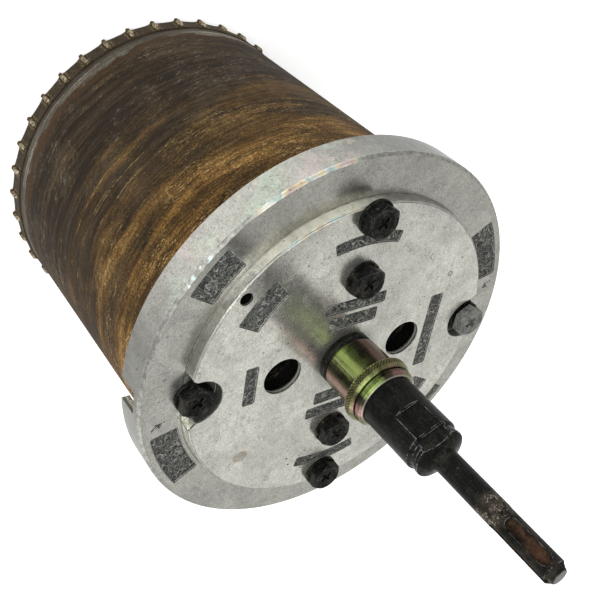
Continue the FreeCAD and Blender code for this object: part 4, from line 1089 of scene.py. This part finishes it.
class DressDrill(Operator):
    """Finishes of the centre drill and its carbide plate"""
    bl_idname = "core_bit.dress_drill"
    bl_label = "Centre drill"

    def execute(self, context):
        dress_node("centre_drill", steel_finish("drill_steel", (0.36, 0.36, 0.36), 0.42))
        dress_node("carbide_tip", steel_finish("carbide", (0.30, 0.30, 0.32), 0.30, dirt=0.1))
        return {"FINISHED"}


def add_light(name, kind, place, aim, power):
    """A light that looks at a point."""
    lamp = bpy.data.lights.new(name, kind)
    lamp.energy = power
    made = object_from(lamp, name)
    made.location = place
    made.rotation_euler = (Vector(aim) - Vector(place)).to_track_quat("-Z", "Y").to_euler()
    return lamp


class BuildStage(Operator):
    """Pale floor, soft lights and the camera"""
    bl_idname = "core_bit.build_stage"
    bl_label = "Studio"

    def execute(self, context):
        look = context.scene.core_bit_studio
        mesh = bpy.data.meshes.new("floor")
        shape = bmesh.new()
        bmesh.ops.create_grid(shape, x_segments=8, y_segments=8, size=look.floor_width / 2)
        shape.to_mesh(mesh)
        shape.free()
        floor = object_from(mesh, "floor")
        coat = Coat("pale_floor", look.floor)
        glow = {"Emission_Color": look.floor, "Emission_Strength": look.floor_glow}
        give(floor, coat.done(0.7, **glow))
        world = bpy.data.worlds.new("studio")
        world.use_nodes = True
        context.scene.world = world
        background = world.node_tree.nodes["Background"]
        background.inputs["Color"].default_value = (1, 1, 1, 1)
        background.inputs["Strength"].default_value = look.sky
        aim = Vector((0, 0, 0.14))
        front = add_light("front_light", "SUN", (0.5, 0.8, 1.6), aim, look.sun)
        front.angle = math.radians(50)
        panel = add_light("side_panel", "AREA", (-0.9, 0.5, 0.7), aim, look.panel)
        panel.shape = "DISK"
        panel.size = 0.7
        camera = bpy.data.cameras.new("camera")
        camera.lens = look.camera_lens
        camera.sensor_width = 36
        camera.clip_start = 0.01
        camera.clip_end = 50
        stand = object_from(camera, "camera")
        place = Vector(look.camera_place)
        view = (Vector(look.camera_aim) - place).to_track_quat("-Z", "Y")
        turn = Matrix.Rotation(look.camera_roll, 4, "Z")
        stand.matrix_world = Matrix.Translation(place) @ view.to_matrix().to_4x4() @ turn
        context.scene.camera = stand
        context.scene.view_settings.view_transform = "Standard"
        return {"FINISHED"}


class CoreBitPanel(Panel):
    """Lists what the drill bit is dressed with"""
    bl_idname = "VIEW3D_PT_core_bit"
    bl_label = "Core bit"
    bl_space_type = "VIEW_3D"
    bl_region_type = "UI"
    bl_category = "Core bit"

    def draw(self, context):
        for group, _ in LOOKS:
            look = getattr(context.scene, group)
            box = self.layout.box()
            for name in look.__annotations__:
                box.prop(look, name)
        for operator in OPERATORS:
            self.layout.operator(operator.bl_idname)


LOOKS = (
    ("core_bit_plate", PlateLook),
    ("core_bit_tube", TubeLook),
    ("core_bit_black", BlackLook),
    ("core_bit_chromate", ChromateLook),
    ("core_bit_studio", StudioLook),
)
OPERATORS = (BuildStage, DressTube, DressPlate, DressBolts, DressHub, DressSleeve, DressArbor,
             DressDrill)


def register():
    for group, look in LOOKS:
        bpy.utils.register_class(look)
        setattr(bpy.types.Scene, group, PointerProperty(type=look))
    for operator in OPERATORS:
        bpy.utils.register_class(operator)
    bpy.utils.register_class(CoreBitPanel)


def unregister():
    bpy.utils.unregister_class(CoreBitPanel)
    for operator in reversed(OPERATORS):
        bpy.utils.unregister_class(operator)
    for group, look in reversed(LOOKS):
        delattr(bpy.types.Scene, group)
        bpy.utils.unregister_class(look)


def main():
    register()
    for operator in OPERATORS:
        family, name = operator.bl_idname.split(".")
        getattr(getattr(bpy.ops, family), name)()


if __name__ == "__main__":
    main()
